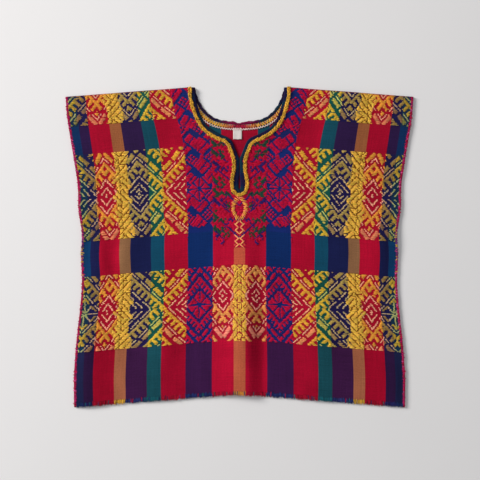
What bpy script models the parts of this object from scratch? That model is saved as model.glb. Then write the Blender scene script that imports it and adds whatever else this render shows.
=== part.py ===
"""Huipil blouse, lying flat on its back: two loom-width panels, front on back, with a bound and corded neck.

Frame, in metres: +X runs across the blouse, +Y toward the shoulders, +Z up. The origin is on the resting
surface, under the middle of the blouse. Left and right are as seen from above with the shoulders at the top.

A point of a panel is given by its share, from -1 at the left edge to 1 at the right, and by its drop, the
length of cloth between it and the shoulder line. A point of the neck is given by its x and by its fall, the
distance below the point where the neck meets the shoulder line.
"""

import math
from collections import namedtuple

import bmesh
import bpy
import numpy as np

# The panels
LENGTH = 0.571  # shoulder line to hem
DROOP = 0.0235  # how far the side edges hang below the middle of the same weft
CLOTH = 0.0016  # thickness of the brocaded cloth
GAP = 0.0003  # between two pieces
EDGE = 0.0030  # width of the overcast armhole edgings and side seams
HEM = 0.0080  # width of the overcast hem
ARMHOLE = 0.266  # shoulder line to the top of the side seam
PANEL_LIFT = {"front": CLOTH + GAP, "back": 0.0}

# The neck
NECK_SHARE = 0.290  # share of the half width at which the neck meets the shoulder line
BINDING = 0.0057  # width of the dark binding
FOOT_NARROWING, FOOT_REACH = 0.0026, 0.0220  # less of the binding shows round the foot of the slit
CORD_WIDTH = 0.0075
CORD_HEIGHT = 0.0040
CORD_TO_CUT = 0.0033  # from the cord's middle to the cut in the front panel
BAND = 0.0055  # width of the stitched band inside the back neck
BAND_HEIGHT = 0.0012
NOTCH_DEPTH = 0.0032  # V notch in the middle of the back neck
NOTCH_REACH = 0.0100
NECK_RISE = BAND_HEIGHT + 2 * GAP  # the front lies over the back band at each side of the neck
NECK_RISE_REACH = 0.150
STEP = 0.0045  # spacing of the sections along bindings and cord

LABEL_WIDTH, LABEL_LENGTH, LABEL_THICKNESS = 0.0160, 0.0215, 0.0008
LABEL_X, LABEL_FALL = -0.0036, 0.0733  # middle of its top edge

Cut = namedtuple("Cut", "drop half_width")
SIDE_CUT = [
    Cut(0.000, 0.3200),
    Cut(0.040, 0.3170),
    Cut(0.115, 0.3045),
    Cut(0.165, 0.2965),
    Cut(0.210, 0.2970),
    Cut(0.250, 0.2885),
    Cut(0.290, 0.2920),
    Cut(0.340, 0.2890),
    Cut(0.390, 0.2930),
    Cut(0.460, 0.3010),
    Cut(0.520, 0.3050),
    Cut(0.571, 0.3040),
]

# The left half of the neck, from the shoulder line to the middle of the blouse
NeckPoint = namedtuple("NeckPoint", "x fall")
FRONT_CORD = [  # the middle of the yellow cord: scoop, slit and the loop at the foot of the slit
    NeckPoint(-0.0910, 0.0000),
    NeckPoint(-0.0900, 0.0190),
    NeckPoint(-0.0835, 0.0440),
    NeckPoint(-0.0745, 0.0650),
    NeckPoint(-0.0610, 0.0810),
    NeckPoint(-0.0415, 0.0930),
    NeckPoint(-0.0240, 0.1010),
    NeckPoint(-0.0165, 0.1150),
    NeckPoint(-0.0106, 0.1330),
    NeckPoint(-0.0104, 0.1500),
    NeckPoint(-0.0140, 0.1710),
    NeckPoint(-0.0124, 0.1880),
    NeckPoint(0.0000, 0.1975),
]
BACK_SEAM = [  # the line between the back binding and the stitched band below it
    NeckPoint(-0.0875, 0.0000),
    NeckPoint(-0.0810, 0.0220),
    NeckPoint(-0.0690, 0.0425),
    NeckPoint(-0.0530, 0.0570),
    NeckPoint(-0.0330, 0.0645),
    NeckPoint(0.0000, 0.0672),
]

# Soft ridges in the front: the crest runs from x_top at drop top to x_foot at drop foot, full height at peak
Fold = namedtuple("Fold", "x_top x_foot top peak foot height left right")
FOLDS = [
    Fold(0.007, 0.013, 0.205, 0.480, 0.700, 0.0095, 0.085, 0.036),  # the long middle ridge
    Fold(-0.262, -0.250, 0.215, 0.300, 0.370, 0.0045, 0.030, 0.024),  # left of the waist hollow
    Fold(-0.205, -0.214, 0.230, 0.290, 0.360, 0.0040, 0.022, 0.045),  # right of the waist hollow
    Fold(-0.285, -0.272, 0.380, 0.480, 0.640, 0.0055, 0.030, 0.050),  # rolled lower left side
    Fold(0.262, 0.250, 0.180, 0.300, 0.420, 0.0050, 0.050, 0.032),  # rolled right waist
    Fold(-0.150, -0.135, 0.330, 0.460, 0.640, 0.0035, 0.055, 0.040),
    Fold(0.130, 0.150, 0.300, 0.470, 0.660, 0.0040, 0.050, 0.060),
    Fold(-0.190, -0.150, -0.060, 0.090, 0.240, 0.0030, 0.060, 0.050),  # yoke, left
    Fold(0.200, 0.160, -0.060, 0.080, 0.230, 0.0035, 0.050, 0.060),  # yoke, right
]

CRIMSON, NAVY, YELLOW = (0.42, 0.004, 0.03), (0.012, 0.018, 0.07), (0.70, 0.36, 0.05)
MAGENTA, WHITE = (0.40, 0.01, 0.06), (0.80, 0.80, 0.78)


# Where the pieces lie

Y_TOP = (LENGTH + DROOP * (1 + NECK_SHARE)) / 2  # shoulder line at the middle, if the neck weren't cut
NECK_Y = Y_TOP - DROOP * NECK_SHARE
PANEL_END = LENGTH - HEM - GAP
ARMHOLE_ROWS, SEAM_ROWS, FRONT_COLUMNS, BACK_COLUMNS = 12, 14, 40, 12
ARMHOLE_DROPS = np.linspace(0.0, ARMHOLE, ARMHOLE_ROWS + 1)
SEAM_DROPS = np.linspace(ARMHOLE, PANEL_END, SEAM_ROWS + 1)[1:]


def soft_step(value):
    value = min(max(value, 0.0), 1.0)
    return value * value * (3 - 2 * value)


def half_width(drop):
    """Half the blouse's width, with the corners of the cut rounded over 12 mm."""
    drops = [cut.drop for cut in SIDE_CUT]
    widths = [cut.half_width for cut in SIDE_CUT]
    return sum(np.interp(drop + shift, drops, widths) for shift in (-0.012, 0.0, 0.012)) / 3


def plan(share, drop):
    """x and y of a point of a panel; each weft bends down toward both sides."""
    x = share * half_width(drop)
    return x, Y_TOP - drop - DROOP * abs(share)


def fold_height(x, drop):
    total = 0.0
    for fold in FOLDS:
        along = (drop - fold.top) / (fold.foot - fold.top)
        crest = fold.x_top + (fold.x_foot - fold.x_top) * along
        flank = fold.left if x < crest else fold.right
        across = min(abs(x - crest) / flank, 1.0)
        rise = soft_step((drop - fold.top) / (fold.peak - fold.top))
        decline = soft_step((fold.foot - drop) / (fold.foot - fold.peak))
        total += fold.height * rise * decline * math.cos(across * math.pi / 2) ** 2
    return total


def front_lift(x, y):
    """Height of the front panel's underside."""
    share = min(abs(x) / half_width(Y_TOP - y), 1.0)
    drop = Y_TOP - y - DROOP * share
    from_neck = math.hypot(x, y - NECK_Y) / NECK_RISE_REACH
    return PANEL_LIFT["front"] + fold_height(x, drop) + NECK_RISE * soft_step(2 * (1 - from_neck))


def lift(side, x, y):
    """Height of the underside of the front or back panel."""
    return front_lift(x, y) if side == "front" else PANEL_LIFT["back"]


# Routes along the neck

def smooth_route(half, spacing):
    """The whole neck line at even steps: a Catmull-Rom curve through the left half and its mirror image."""
    left = [(point.x, NECK_Y - point.fall) for point in half]
    knots = left + [(-x, y) for x, y in reversed(left[:-1])]
    knots = np.array([knots[0], *knots, knots[-1]])
    curve = []
    for before, start, end, after in zip(knots, knots[1:], knots[2:], knots[3:]):
        for t in np.linspace(0, 1, 24, endpoint=False):
            curve.append(
                start
                + 0.5 * t * (end - before)
                + t * t * (before - 2.5 * start + 2 * end - 0.5 * after)
                + t**3 * (1.5 * (start - end) + 0.5 * (after - before))
            )
    curve = np.array([*curve, knots[-1]])
    run = np.concatenate([[0], np.cumsum(np.linalg.norm(np.diff(curve, axis=0), axis=1))])
    stations = np.linspace(0, run[-1], round(run[-1] / spacing) | 1)
    return np.column_stack([np.interp(stations, run, curve[:, axis]) for axis in (0, 1)])


def inward(route):
    """Unit normals of a neck route that point into the opening."""
    ahead = np.gradient(route, axis=0)
    normals = np.column_stack([-ahead[:, 1], ahead[:, 0]])
    normals[0] = (1, 0)
    normals[-1] = (-1, 0)
    return normals / np.linalg.norm(normals, axis=1)[:, None]


def at_offset(route, distance):
    """A neck route moved into the opening by a distance, which may be given for each of its points."""
    return route + inward(route) * np.reshape(distance, (-1, 1))


def narrowed(route):
    """Width of the front binding at each point of the cord's route."""
    from_foot = np.abs(np.arange(len(route)) - len(route) // 2) * STEP
    return BINDING - FOOT_NARROWING * np.clip(1 - from_foot / FOOT_REACH, 0, 1)


def notched(route, distance):
    """Distance for each point of the back neck, less the V notch in its middle."""
    notch = np.clip(1 - np.abs(route[:, 0]) / NOTCH_REACH, 0, 1)
    return distance - NOTCH_DEPTH * notch


# Blender objects

def material(name, colour, roughness=0.9):
    finish = bpy.data.materials.new(name)
    finish.use_nodes = True
    shader = finish.node_tree.nodes["Principled BSDF"]
    shader.inputs["Base Color"].default_value = (*colour, 1.0)
    shader.inputs["Roughness"].default_value = roughness
    shader.inputs["Metallic"].default_value = 0.0
    return finish


def add_object(name, data, colour, collection):
    piece = bpy.data.objects.new(name, data)
    data.materials.append(material(name, colour))
    collection.objects.link(piece)
    return piece


def cloth_sheet(name, columns, rows, place, thickness, colour, collection):
    """A wall of cloth: a grid whose point (u, v), each from 0 to 1, lies at place(u, v), thickened upward."""
    grid = bmesh.new()
    bmesh.ops.create_grid(grid, x_segments=columns, y_segments=rows, size=0.5)
    for vertex in grid.verts:
        vertex.co = place(vertex.co.x + 0.5, vertex.co.y + 0.5)
    grid.normal_update()
    if sum(face.normal.z for face in grid.faces) < 0:
        bmesh.ops.reverse_faces(grid, faces=grid.faces)
    mesh = bpy.data.meshes.new(name)
    grid.to_mesh(mesh)
    grid.free()
    sheet = add_object(name, mesh, colour, collection)
    wall = sheet.modifiers.new("wall", "SOLIDIFY")
    wall.thickness = thickness
    wall.offset = 1.0
    return sheet


def neck_cutter(name, edge, collection):
    """An upright prism that takes the neck out of a panel; its sides run on above the shoulder line."""
    above = np.array([[edge[-1, 0], NECK_Y + 0.03], [edge[0, 0], NECK_Y + 0.03]])
    prism = bmesh.new()
    base = prism.faces.new([prism.verts.new((x, y, -0.01)) for x, y in [*edge, *above]])
    top = bmesh.ops.extrude_face_region(prism, geom=[base])["geom"]
    bmesh.ops.translate(prism, vec=(0, 0, 0.05), verts=[v for v in top if isinstance(v, bmesh.types.BMVert)])
    bmesh.ops.recalc_face_normals(prism, faces=prism.faces)
    mesh = bpy.data.meshes.new(name)
    prism.to_mesh(mesh)
    prism.free()
    cutter = bpy.data.objects.new(name, mesh)
    collection.objects.link(cutter)
    cutter.hide_render = True
    cutter.display_type = "WIRE"
    return cutter


def build_panel(side, columns, cut, parts, cutters):
    """The front or back: loom width by length, less its edgings, with the neck cut out."""
    drops = [*ARMHOLE_DROPS, *SEAM_DROPS]

    def place(u, v):
        share = 2 * u - 1
        x, y = plan(share, drops[round(v * (len(drops) - 1))])
        x -= share * (EDGE + GAP)
        return x, y, lift(side, x, y)

    panel = cloth_sheet(f"{side}_panel", columns, len(drops) - 1, place, CLOTH, CRIMSON, parts)
    opening = panel.modifiers.new("neck", "BOOLEAN")
    opening.operation = "DIFFERENCE"
    opening.object = neck_cutter(f"{side}_neck", cut, cutters)


def build_neck_strip(name, side, near, far, height, thickness, colour, parts):
    """A strip between two neck lines, its underside at a height over the panel's underside."""

    def place(u, v):
        station = round(v * (len(near) - 1))
        x, y = near[station] + u * (far[station] - near[station])
        return x, y, lift(side, x, y) + height

    cloth_sheet(name, 2, len(near) - 1, place, thickness, colour, parts)


def build_neck_cord(route, parts, guides):
    """The chain-stitched yellow cord, an oval section that lies on the front panel along its neck."""
    oval = bpy.data.curves.new("cord_section", "CURVE")
    rim = oval.splines.new("POLY")
    sides = 8
    rim.points.add(sides - 1)
    for index, point in enumerate(rim.points):
        angle = -2 * math.pi * index / sides
        point.co = (CORD_WIDTH / 2 * math.cos(angle), CORD_HEIGHT / 2 * math.sin(angle), 0, 1)
    rim.use_cyclic_u = True
    section = bpy.data.objects.new("cord_section", oval)
    guides.objects.link(section)
    section.hide_render = True

    path = bpy.data.curves.new("neck_cord", "CURVE")
    path.dimensions = "3D"
    path.twist_mode = "Z_UP"
    path.bevel_mode = "OBJECT"
    path.bevel_object = section
    path.use_fill_caps = True
    line = path.splines.new("POLY")
    line.points.add(len(route) - 1)
    for point, (x, y) in zip(line.points, route):
        point.co = (x, y, front_lift(x, y) + CLOTH + GAP + CORD_HEIGHT / 2, 1)
    add_object("neck_cord", path, YELLOW, parts)


def build_side_strip(name, sign, drops, side, thickness, parts):
    """An overcast strip along a side edge, through the given drops, that starts at one panel's underside."""

    def place(u, v):
        x, y = plan(sign, drops[round(v * (len(drops) - 1))])
        x -= sign * u * EDGE
        return x, y, lift(side, x, y)

    cloth_sheet(name, 1, len(drops) - 1, place, thickness, MAGENTA, parts)


def build_sides(parts):
    """Edgings round both armholes, then one seam a side that takes in both panels down to the hem."""
    for word, sign in (("left", -1), ("right", 1)):
        for side in ("front", "back"):
            build_side_strip(f"armhole_edging_{side}_{word}", sign, ARMHOLE_DROPS, side, CLOTH, parts)
        drops = [ARMHOLE + GAP, *SEAM_DROPS, LENGTH]
        build_side_strip(f"side_seam_{word}", sign, drops, "back", 2 * CLOTH + GAP, parts)


def build_hem(side, columns, parts):
    """The overcast end of a panel, between the side seams."""

    def place(u, v):
        share = 2 * u - 1
        x, y = plan(share, LENGTH - HEM + v * HEM)
        x -= share * (EDGE + GAP)
        return x, y, lift(side, x, y)

    cloth_sheet(f"hem_edging_{side}", columns, 1, place, CLOTH, NAVY, parts)


def build_label(parts):
    """A small plain tag that hangs from the stitched band on the inner face of the back."""

    def place(u, v):
        x = LABEL_X + (u - 0.5) * LABEL_WIDTH
        return x, NECK_Y - LABEL_FALL - v * LABEL_LENGTH, CLOTH + GAP

    cloth_sheet("label", 1, 1, place, LABEL_THICKNESS, WHITE, parts)


def main():
    for leftover in list(bpy.data.objects):
        bpy.data.objects.remove(leftover)
    parts = bpy.data.collections.new("huipil_blouse")
    guides = bpy.data.collections.new("cutters")
    bpy.context.scene.collection.children.link(parts)
    bpy.context.scene.collection.children.link(guides)

    cord = smooth_route(FRONT_CORD, STEP)
    front_seam = CORD_TO_CUT + GAP
    front_edge = at_offset(cord, front_seam + narrowed(cord))
    back_seam = smooth_route(BACK_SEAM, STEP)
    back_edge = at_offset(back_seam, notched(back_seam, BINDING))

    build_panel("back", BACK_COLUMNS, back_seam, parts, guides)
    build_panel("front", FRONT_COLUMNS, at_offset(cord, CORD_TO_CUT), parts, guides)
    back_binding = at_offset(back_seam, GAP)
    build_neck_strip("neck_binding_back", "back", back_binding, back_edge, GAP, CLOTH, NAVY, parts)
    build_neck_strip(
        "neck_binding_front", "front", at_offset(cord, front_seam), front_edge, 0.0, CLOTH, NAVY, parts
    )
    band_top, band_foot = at_offset(back_seam, -GAP), at_offset(back_seam, -GAP - BAND)
    build_neck_strip(
        "neck_band_back", "back", band_top, band_foot, CLOTH + GAP, BAND_HEIGHT, YELLOW, parts
    )
    build_neck_cord(cord, parts, guides)
    build_sides(parts)
    build_hem("back", BACK_COLUMNS, parts)
    build_hem("front", FRONT_COLUMNS, parts)
    build_label(parts)


main()
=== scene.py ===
"""Looks of the huipil blouse, laid flat on its back on a pale floor.

Two panels of striped handwoven cloth carry raised brocade in three bands and a yoke. The neck is bound in dark
cloth and corded in yellow chain stitch, the armholes and sides are overcast in red, and the hem is overcast and
lightly frayed.

A point of a panel is given by its share, from -1 at the left edge to 1 at the right, and its drop, the length of
cloth between it and the shoulder line. The brocade is charted for one half in millimetres, outward from the middle
and down from the top of its band, and the other half mirrors it.
"""

from __future__ import annotations

import logging
import math
from dataclasses import dataclass, field
from enum import Enum, IntEnum
from typing import Callable, NamedTuple, Sequence

import bpy
import numpy as np
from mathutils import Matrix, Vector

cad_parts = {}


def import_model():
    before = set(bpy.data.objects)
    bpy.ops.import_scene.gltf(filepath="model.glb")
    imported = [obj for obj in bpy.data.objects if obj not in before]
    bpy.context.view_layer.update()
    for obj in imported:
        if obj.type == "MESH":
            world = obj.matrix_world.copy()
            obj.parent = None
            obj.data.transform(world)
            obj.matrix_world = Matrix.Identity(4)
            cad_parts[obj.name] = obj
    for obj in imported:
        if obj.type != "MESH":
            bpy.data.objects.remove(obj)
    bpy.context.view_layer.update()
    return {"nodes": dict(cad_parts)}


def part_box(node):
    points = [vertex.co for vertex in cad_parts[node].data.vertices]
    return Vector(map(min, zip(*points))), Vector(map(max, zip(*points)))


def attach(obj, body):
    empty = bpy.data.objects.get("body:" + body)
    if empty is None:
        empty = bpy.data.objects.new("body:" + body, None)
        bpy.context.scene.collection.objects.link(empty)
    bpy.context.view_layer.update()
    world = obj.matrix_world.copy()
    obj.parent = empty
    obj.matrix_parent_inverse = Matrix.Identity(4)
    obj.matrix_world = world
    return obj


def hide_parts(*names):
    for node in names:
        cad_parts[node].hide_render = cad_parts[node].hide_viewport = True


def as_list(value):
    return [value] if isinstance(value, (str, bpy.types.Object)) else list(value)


log = logging.getLogger("huipil")
Array = np.ndarray
Chance = np.random.Generator
MM = 0.001  # a millimetre in metres
HALF = 300.0  # from the blouse's middle to its side on the brocade's chart, in millimetres
BODY = "root"


# The cut and lay of the blouse, as in the frame


class Cut(NamedTuple):
    """Half the blouse's width at one drop."""

    drop: float
    half_width: float


class NeckPoint(NamedTuple):
    """A point of the left half of a neck line: its x, and its fall below the shoulder line at the neck."""

    x: float
    fall: float


class Fold(NamedTuple):
    """A soft ridge: its crest runs from x_top at drop top to x_foot at drop foot, and is full at peak."""

    x_top: float
    x_foot: float
    top: float
    peak: float
    foot: float
    height: float
    left: float
    right: float


SIDE_CUT = (
    Cut(0.000, 0.3200),
    Cut(0.040, 0.3170),
    Cut(0.115, 0.3045),
    Cut(0.165, 0.2965),
    Cut(0.210, 0.2970),
    Cut(0.250, 0.2885),
    Cut(0.290, 0.2920),
    Cut(0.340, 0.2890),
    Cut(0.390, 0.2930),
    Cut(0.460, 0.3010),
    Cut(0.520, 0.3050),
    Cut(0.571, 0.3040),
)
FRONT_CORD = (
    NeckPoint(-0.0910, 0.0000),
    NeckPoint(-0.0900, 0.0190),
    NeckPoint(-0.0835, 0.0440),
    NeckPoint(-0.0745, 0.0650),
    NeckPoint(-0.0610, 0.0810),
    NeckPoint(-0.0415, 0.0930),
    NeckPoint(-0.0240, 0.1010),
    NeckPoint(-0.0165, 0.1150),
    NeckPoint(-0.0106, 0.1330),
    NeckPoint(-0.0104, 0.1500),
    NeckPoint(-0.0140, 0.1710),
    NeckPoint(-0.0124, 0.1880),
    NeckPoint(0.0000, 0.1975),
)
BACK_SEAM = (
    NeckPoint(-0.0875, 0.0000),
    NeckPoint(-0.0810, 0.0220),
    NeckPoint(-0.0690, 0.0425),
    NeckPoint(-0.0530, 0.0570),
    NeckPoint(-0.0330, 0.0645),
    NeckPoint(0.0000, 0.0672),
)
FOLDS = (
    Fold(0.007, 0.013, 0.205, 0.480, 0.700, 0.0095, 0.085, 0.036),
    Fold(-0.262, -0.250, 0.215, 0.300, 0.370, 0.0045, 0.030, 0.024),
    Fold(-0.205, -0.214, 0.230, 0.290, 0.360, 0.0040, 0.022, 0.045),
    Fold(-0.285, -0.272, 0.380, 0.480, 0.640, 0.0055, 0.030, 0.050),
    Fold(0.262, 0.250, 0.180, 0.300, 0.420, 0.0050, 0.050, 0.032),
    Fold(-0.150, -0.135, 0.330, 0.460, 0.640, 0.0035, 0.055, 0.040),
    Fold(0.130, 0.150, 0.300, 0.470, 0.660, 0.0040, 0.050, 0.060),
    Fold(-0.190, -0.150, -0.060, 0.090, 0.240, 0.0030, 0.060, 0.050),
    Fold(0.200, 0.160, -0.060, 0.080, 0.230, 0.0035, 0.050, 0.060),
)
CREASES = (  # finer than the frame's folds
    Fold(0.009, 0.016, 0.215, 0.460, 0.720, 0.0045, 0.050, 0.031),
    Fold(0.052, 0.058, 0.260, 0.420, 0.620, 0.0010, 0.012, 0.016),
    Fold(-0.040, -0.052, 0.250, 0.330, 0.420, 0.0009, 0.014, 0.012),
    Fold(-0.296, -0.286, 0.205, 0.255, 0.330, 0.0022, 0.012, 0.016),
    Fold(0.290, 0.284, 0.215, 0.262, 0.320, 0.0022, 0.016, 0.012),
    Fold(-0.238, -0.236, 0.330, 0.400, 0.480, 0.0010, 0.012, 0.016),
    Fold(0.215, 0.224, 0.330, 0.420, 0.520, 0.0014, 0.018, 0.014),
    Fold(-0.110, -0.118, 0.050, 0.130, 0.210, 0.0010, 0.016, 0.020),
    Fold(0.118, 0.106, 0.080, 0.170, 0.260, 0.0012, 0.020, 0.014),
    Fold(0.282, 0.292, 0.420, 0.520, 0.620, 0.0018, 0.018, 0.012),
    Fold(-0.075, -0.060, 0.430, 0.520, 0.640, 0.0014, 0.022, 0.018),
)


def soft_step(value: Array) -> Array:
    """Eases from 0 to 1 as the value goes from 0 to 1."""
    value = np.clip(value, 0.0, 1.0)
    return value * value * (3 - 2 * value)


@dataclass(frozen=True)
class Lay:
    """Where the cloth of the two panels lies. Lengths are in metres."""

    length: float = 0.571
    width: float = 0.61  # of the cloth when it is flat
    droop: float = 0.0235  # how far the wefts' ends hang below their middle
    cloth: float = 0.0016  # a panel's thickness with its brocade
    back_cloth: float = 0.0010  # the back's without it
    gap: float = 0.0003  # between the panels
    edge: float = 0.0030
    neck_share: float = 0.290
    neck_rise: float = 0.0018
    neck_rise_reach: float = 0.150
    ripple: float = 0.0002
    clearance: float = 0.0002  # between the front's solid and its cloth
    corner_softness: float = 0.012  # drop over which the cut's corners are rounded
    peak_softness: float = 0.030  # share over which the wefts' bend at the middle is rounded
    pull: float = 0.67  # how strongly the front's warps are drawn out near the shoulders
    pull_reach: float = 0.075

    @property
    def y_top(self) -> float:
        """The shoulder line at the middle of the blouse, from the foot of the side seams in the frame."""
        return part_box("side_seam_left")[0][1] + self.length + self.droop

    @property
    def neck_y(self) -> float:
        """The shoulder line where it meets the neck."""
        return self.y_top - self.droop * self.neck_share

    def half_width(self, drop: Array) -> Array:
        """Half the width of the blouse at a drop, with the corners of the cut rounded.

        Args:
            drop: Drops down the cloth.

        Returns:
            The half width at each.
        """
        drops = [cut.drop for cut in SIDE_CUT]
        widths = [cut.half_width for cut in SIDE_CUT]
        shifts = (-self.corner_softness, 0.0, self.corner_softness)
        return sum(np.interp(drop + shift, drops, widths) for shift in shifts) / len(shifts)

    def sag(self, share: Array) -> Array:
        """How far a weft hangs below its middle at a share."""
        softness = self.peak_softness
        return self.droop * (np.sqrt(share**2 + softness**2) - softness) / (math.hypot(1, softness) - softness)

    def plan(self, share: Array, drop: Array) -> tuple[Array, Array]:
        """The x and y of a point of a panel."""
        return share * self.half_width(drop), self.y_top - drop - self.sag(share)

    def pulled(self, share: Array, drop: Array) -> Array:
        """The share where one of the front's warps lies, drawn out towards the armholes near the shoulders."""
        return share * (1 + self.pull * (1 - np.abs(share)) ** 3 * np.exp(-((drop / self.pull_reach) ** 2)))

    def share_and_drop(self, x: Array, y: Array) -> tuple[Array, Array]:
        """The share and drop of a point given by its x and y.

        Args:
            x: Positions across.
            y: Positions toward the shoulders.

        Returns:
            The shares and the drops.
        """
        share = np.clip(x / self.half_width(self.y_top - y - self.droop / 2), -1, 1)
        drop = self.y_top - y - self.sag(share)
        return x / self.half_width(drop), drop

    def ridges(self, folds: Sequence[Fold], x: Array, drop: Array) -> Array:
        """Summed height of soft ridges.

        Args:
            folds: The ridges.
            x: Positions across.
            drop: Positions down the cloth.

        Returns:
            The height at each position.
        """
        total = np.zeros(np.broadcast(x, drop).shape)
        for fold in folds:
            along = (drop - fold.top) / (fold.foot - fold.top)
            crest = fold.x_top + (fold.x_foot - fold.x_top) * along
            flank = np.where(x < crest, fold.left, fold.right)
            across = np.minimum(np.abs(x - crest) / flank, 1.0)
            rise = soft_step((drop - fold.top) / (fold.peak - fold.top))
            decline = soft_step((fold.foot - drop) / (fold.foot - fold.peak))
            total = total + fold.height * rise * decline * np.cos(across * math.pi / 2) ** 2
        return total

    def under_front(self, x: Array, y: Array) -> Array:
        """Height of the front panel's underside at x and y.

        Args:
            x: Positions across.
            y: Positions toward the shoulders.

        Returns:
            The height at each position.
        """
        _, drop = self.share_and_drop(x, y)
        from_neck = np.hypot(x, y - self.neck_y) / self.neck_rise_reach
        rise = self.neck_rise * soft_step(2 * (1 - from_neck))
        ripple = self.ripple * np.sin(41 * x + 23 * y) * np.sin(67 * y - 13 * x)
        creases = self.ridges(FOLDS, x, drop) + self.ridges(CREASES, x, drop)
        return self.cloth + self.gap + rise + creases + ripple + self.clearance

    def front_top(self, x: Array, y: Array) -> Array:
        """Height of the front panel's face at x and y."""
        return self.under_front(x, y) + self.cloth

    def back_top(self, x: Array, y: Array) -> Array:
        """Height of the back panel's inner face."""
        return np.full(np.broadcast(x, y).shape, self.cloth)

    def back_outside(self, x: Array, y: Array) -> Array:
        """Height of the back panel's cloth on its outside, above its floats."""
        return self.back_top(x, y) - self.back_cloth

    def back_under(self, x: Array, y: Array) -> Array:
        """Height of what the back panel lies on."""
        return self.back_top(x, y) - self.cloth


LAY = Lay()
Surface = Callable[[Array, Array], Array]


@dataclass(frozen=True)
class NeckLine:
    """A smooth line round a neck opening, at even steps, through a left half and its mirror image."""

    half: Sequence[NeckPoint]
    spacing: float = 0.002

    def route(self) -> Array:
        """The line's points as rows of x and y, from the left shoulder to the right.

        Returns:
            A row for each point.
        """
        left = [(point.x, LAY.neck_y - point.fall) for point in self.half]
        knots = left + [(-x, y) for x, y in reversed(left[:-1])]
        knots = np.array([knots[0], *knots, knots[-1]])
        curve = []
        for before, start, end, after in zip(knots, knots[1:], knots[2:], knots[3:]):
            t = np.linspace(0, 1, 24, endpoint=False)[:, None]
            curve.append(
                start
                + 0.5 * t * (end - before)
                + t**2 * (before - 2.5 * start + 2 * end - 0.5 * after)
                + t**3 * (1.5 * (start - end) + 0.5 * (after - before))
            )
        curve = np.vstack([*curve, knots[-1:]])
        run = np.concatenate([[0], np.cumsum(np.linalg.norm(np.diff(curve, axis=0), axis=1))])
        stations = np.linspace(0, run[-1], round(run[-1] / self.spacing) | 1)
        return np.column_stack([np.interp(stations, run, curve[:, axis]) for axis in (0, 1)])

    def inward(self) -> Array:
        """Unit normals that point into the opening, a row for each point.

        Returns:
            A row for each point.
        """
        ahead = np.gradient(self.route(), axis=0)
        normals = np.column_stack([-ahead[:, 1], ahead[:, 0]])
        normals[0], normals[-1] = (1, 0), (-1, 0)
        return normals / np.linalg.norm(normals, axis=1)[:, None]

    def worked(self) -> tuple[Array, Array, Array]:
        """The line's points, its normals into the opening, and its directions in radians from +X."""
        inward = self.inward()
        return self.route(), inward, np.arctan2(-inward[:, 0], inward[:, 1])

    def offset(self, distance: float | Array) -> Array:
        """The line moved into the opening by a distance, or by one for each point."""
        return self.route() + self.inward() * np.reshape(distance, (-1, 1))


def neck_hole(line: Array) -> Array:
    """A closed outline of a neck opening, run on above the shoulders."""
    above = LAY.neck_y + 0.03
    return np.vstack([line, [[line[-1, 0], above], [line[0, 0], above]]])


def inside(x: Array, y: Array, outline: Array) -> Array:
    """Whether points lie inside a closed outline.

    Args:
        x: Positions across.
        y: Positions toward the shoulders.
        outline: The outline's corners as rows of x and y.

    Returns:
        True for each point inside.
    """
    crossings = np.zeros(x.shape, dtype=int)
    for (x0, y0), (x1, y1) in zip(outline, np.roll(outline, -1, axis=0)):
        spans = (y0 > y) != (y1 > y)
        with np.errstate(divide="ignore", invalid="ignore"):
            crossings += spans & (x < (x1 - x0) * (y - y0) / (y1 - y0) + x0)
    return crossings % 2 == 1


# Colours


def linear(code: str) -> Array:
    """The linear red, green and blue of a screen colour such as a0c4ff."""
    screen = np.array([int(code[at : at + 2], 16) for at in (0, 2, 4)]) / 255
    return np.where(screen <= 0.04045, screen / 12.92, ((screen + 0.055) / 1.055) ** 2.4)


def uneven(colour: Array, spread: float, count: int, chance: Chance) -> Array:
    """Colours of a number of stitches, each a little lighter or darker than its yarn.

    Args:
        colour: The yarn's linear colour, or a row for each stitch.
        spread: How much they differ, as a share of the colour.
        count: How many stitches.
        chance: The source of their differences.

    Returns:
        A row of red, green and blue for each stitch.
    """
    return colour * (1 + chance.normal(0, spread, (count, 1)))


class Stripe(NamedTuple):
    """A warp stripe, counted outward from the middle: its outer edge, and its colours.

    Upper, waist, lower and ground are the cloth's with its several wefts. Yarn, second and line are the floats'.
    """

    outer: float
    upper: str
    waist: str
    lower: str
    ground: str
    yarn: str
    second: str
    line: str


STRIPES = (
    Stripe(0.035, "a01c34", "c2563e", "b85a3e", "9c1c34", "f0a83a", "f0a83a", "f4a070"),
    Stripe(0.167, "a30b2c", "b40b31", "b20830", "a80c2c", "f4a85a", "f89a80", "fcb49c"),
    Stripe(0.328, "1c2660", "0b2a62", "3a1745", "14286a", "c20638", "c20638", "5a2a80"),
    Stripe(0.473, "a3072a", "ad082d", "a2062b", "a80c2c", "f2b83e", "f4a066", "fabc94"),
    Stripe(0.560, "124758", "0f4863", "164a56", "125248", "ecc43e", "dccc60", "d4d878"),
    Stripe(0.688, "2d1944", "171d4b", "3c1743", "1e1848", "bea258", "b4925e", "d4b888"),
    Stripe(0.759, "985a38", "8a6244", "a66346", "7c4a18", "f0bb48", "f0bb48", "f0c050"),
    Stripe(0.885, "a3072a", "ad082d", "9f0528", "a20c28", "f2a840", "f09066", "fab494"),
    Stripe(0.945, "2a1742", "171b49", "2a123a", "1c1a48", "aa8a4c", "9c7854", "c8a884"),
    Stripe(1.001, "0e2d58", "0c3a66", "1a1f44", "14304a", "ccaa3c", "989450", "b4b878"),
)
BACK_STRIPES = (
    STRIPES[1]._replace(outer=0.108, ground="9c0a2a", upper="9c0a2a"),
    STRIPES[4]._replace(outer=0.176, ground="104a58"),
    STRIPES[1]._replace(outer=0.300, ground="8c0826"),
    *STRIPES[2:],
)


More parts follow.
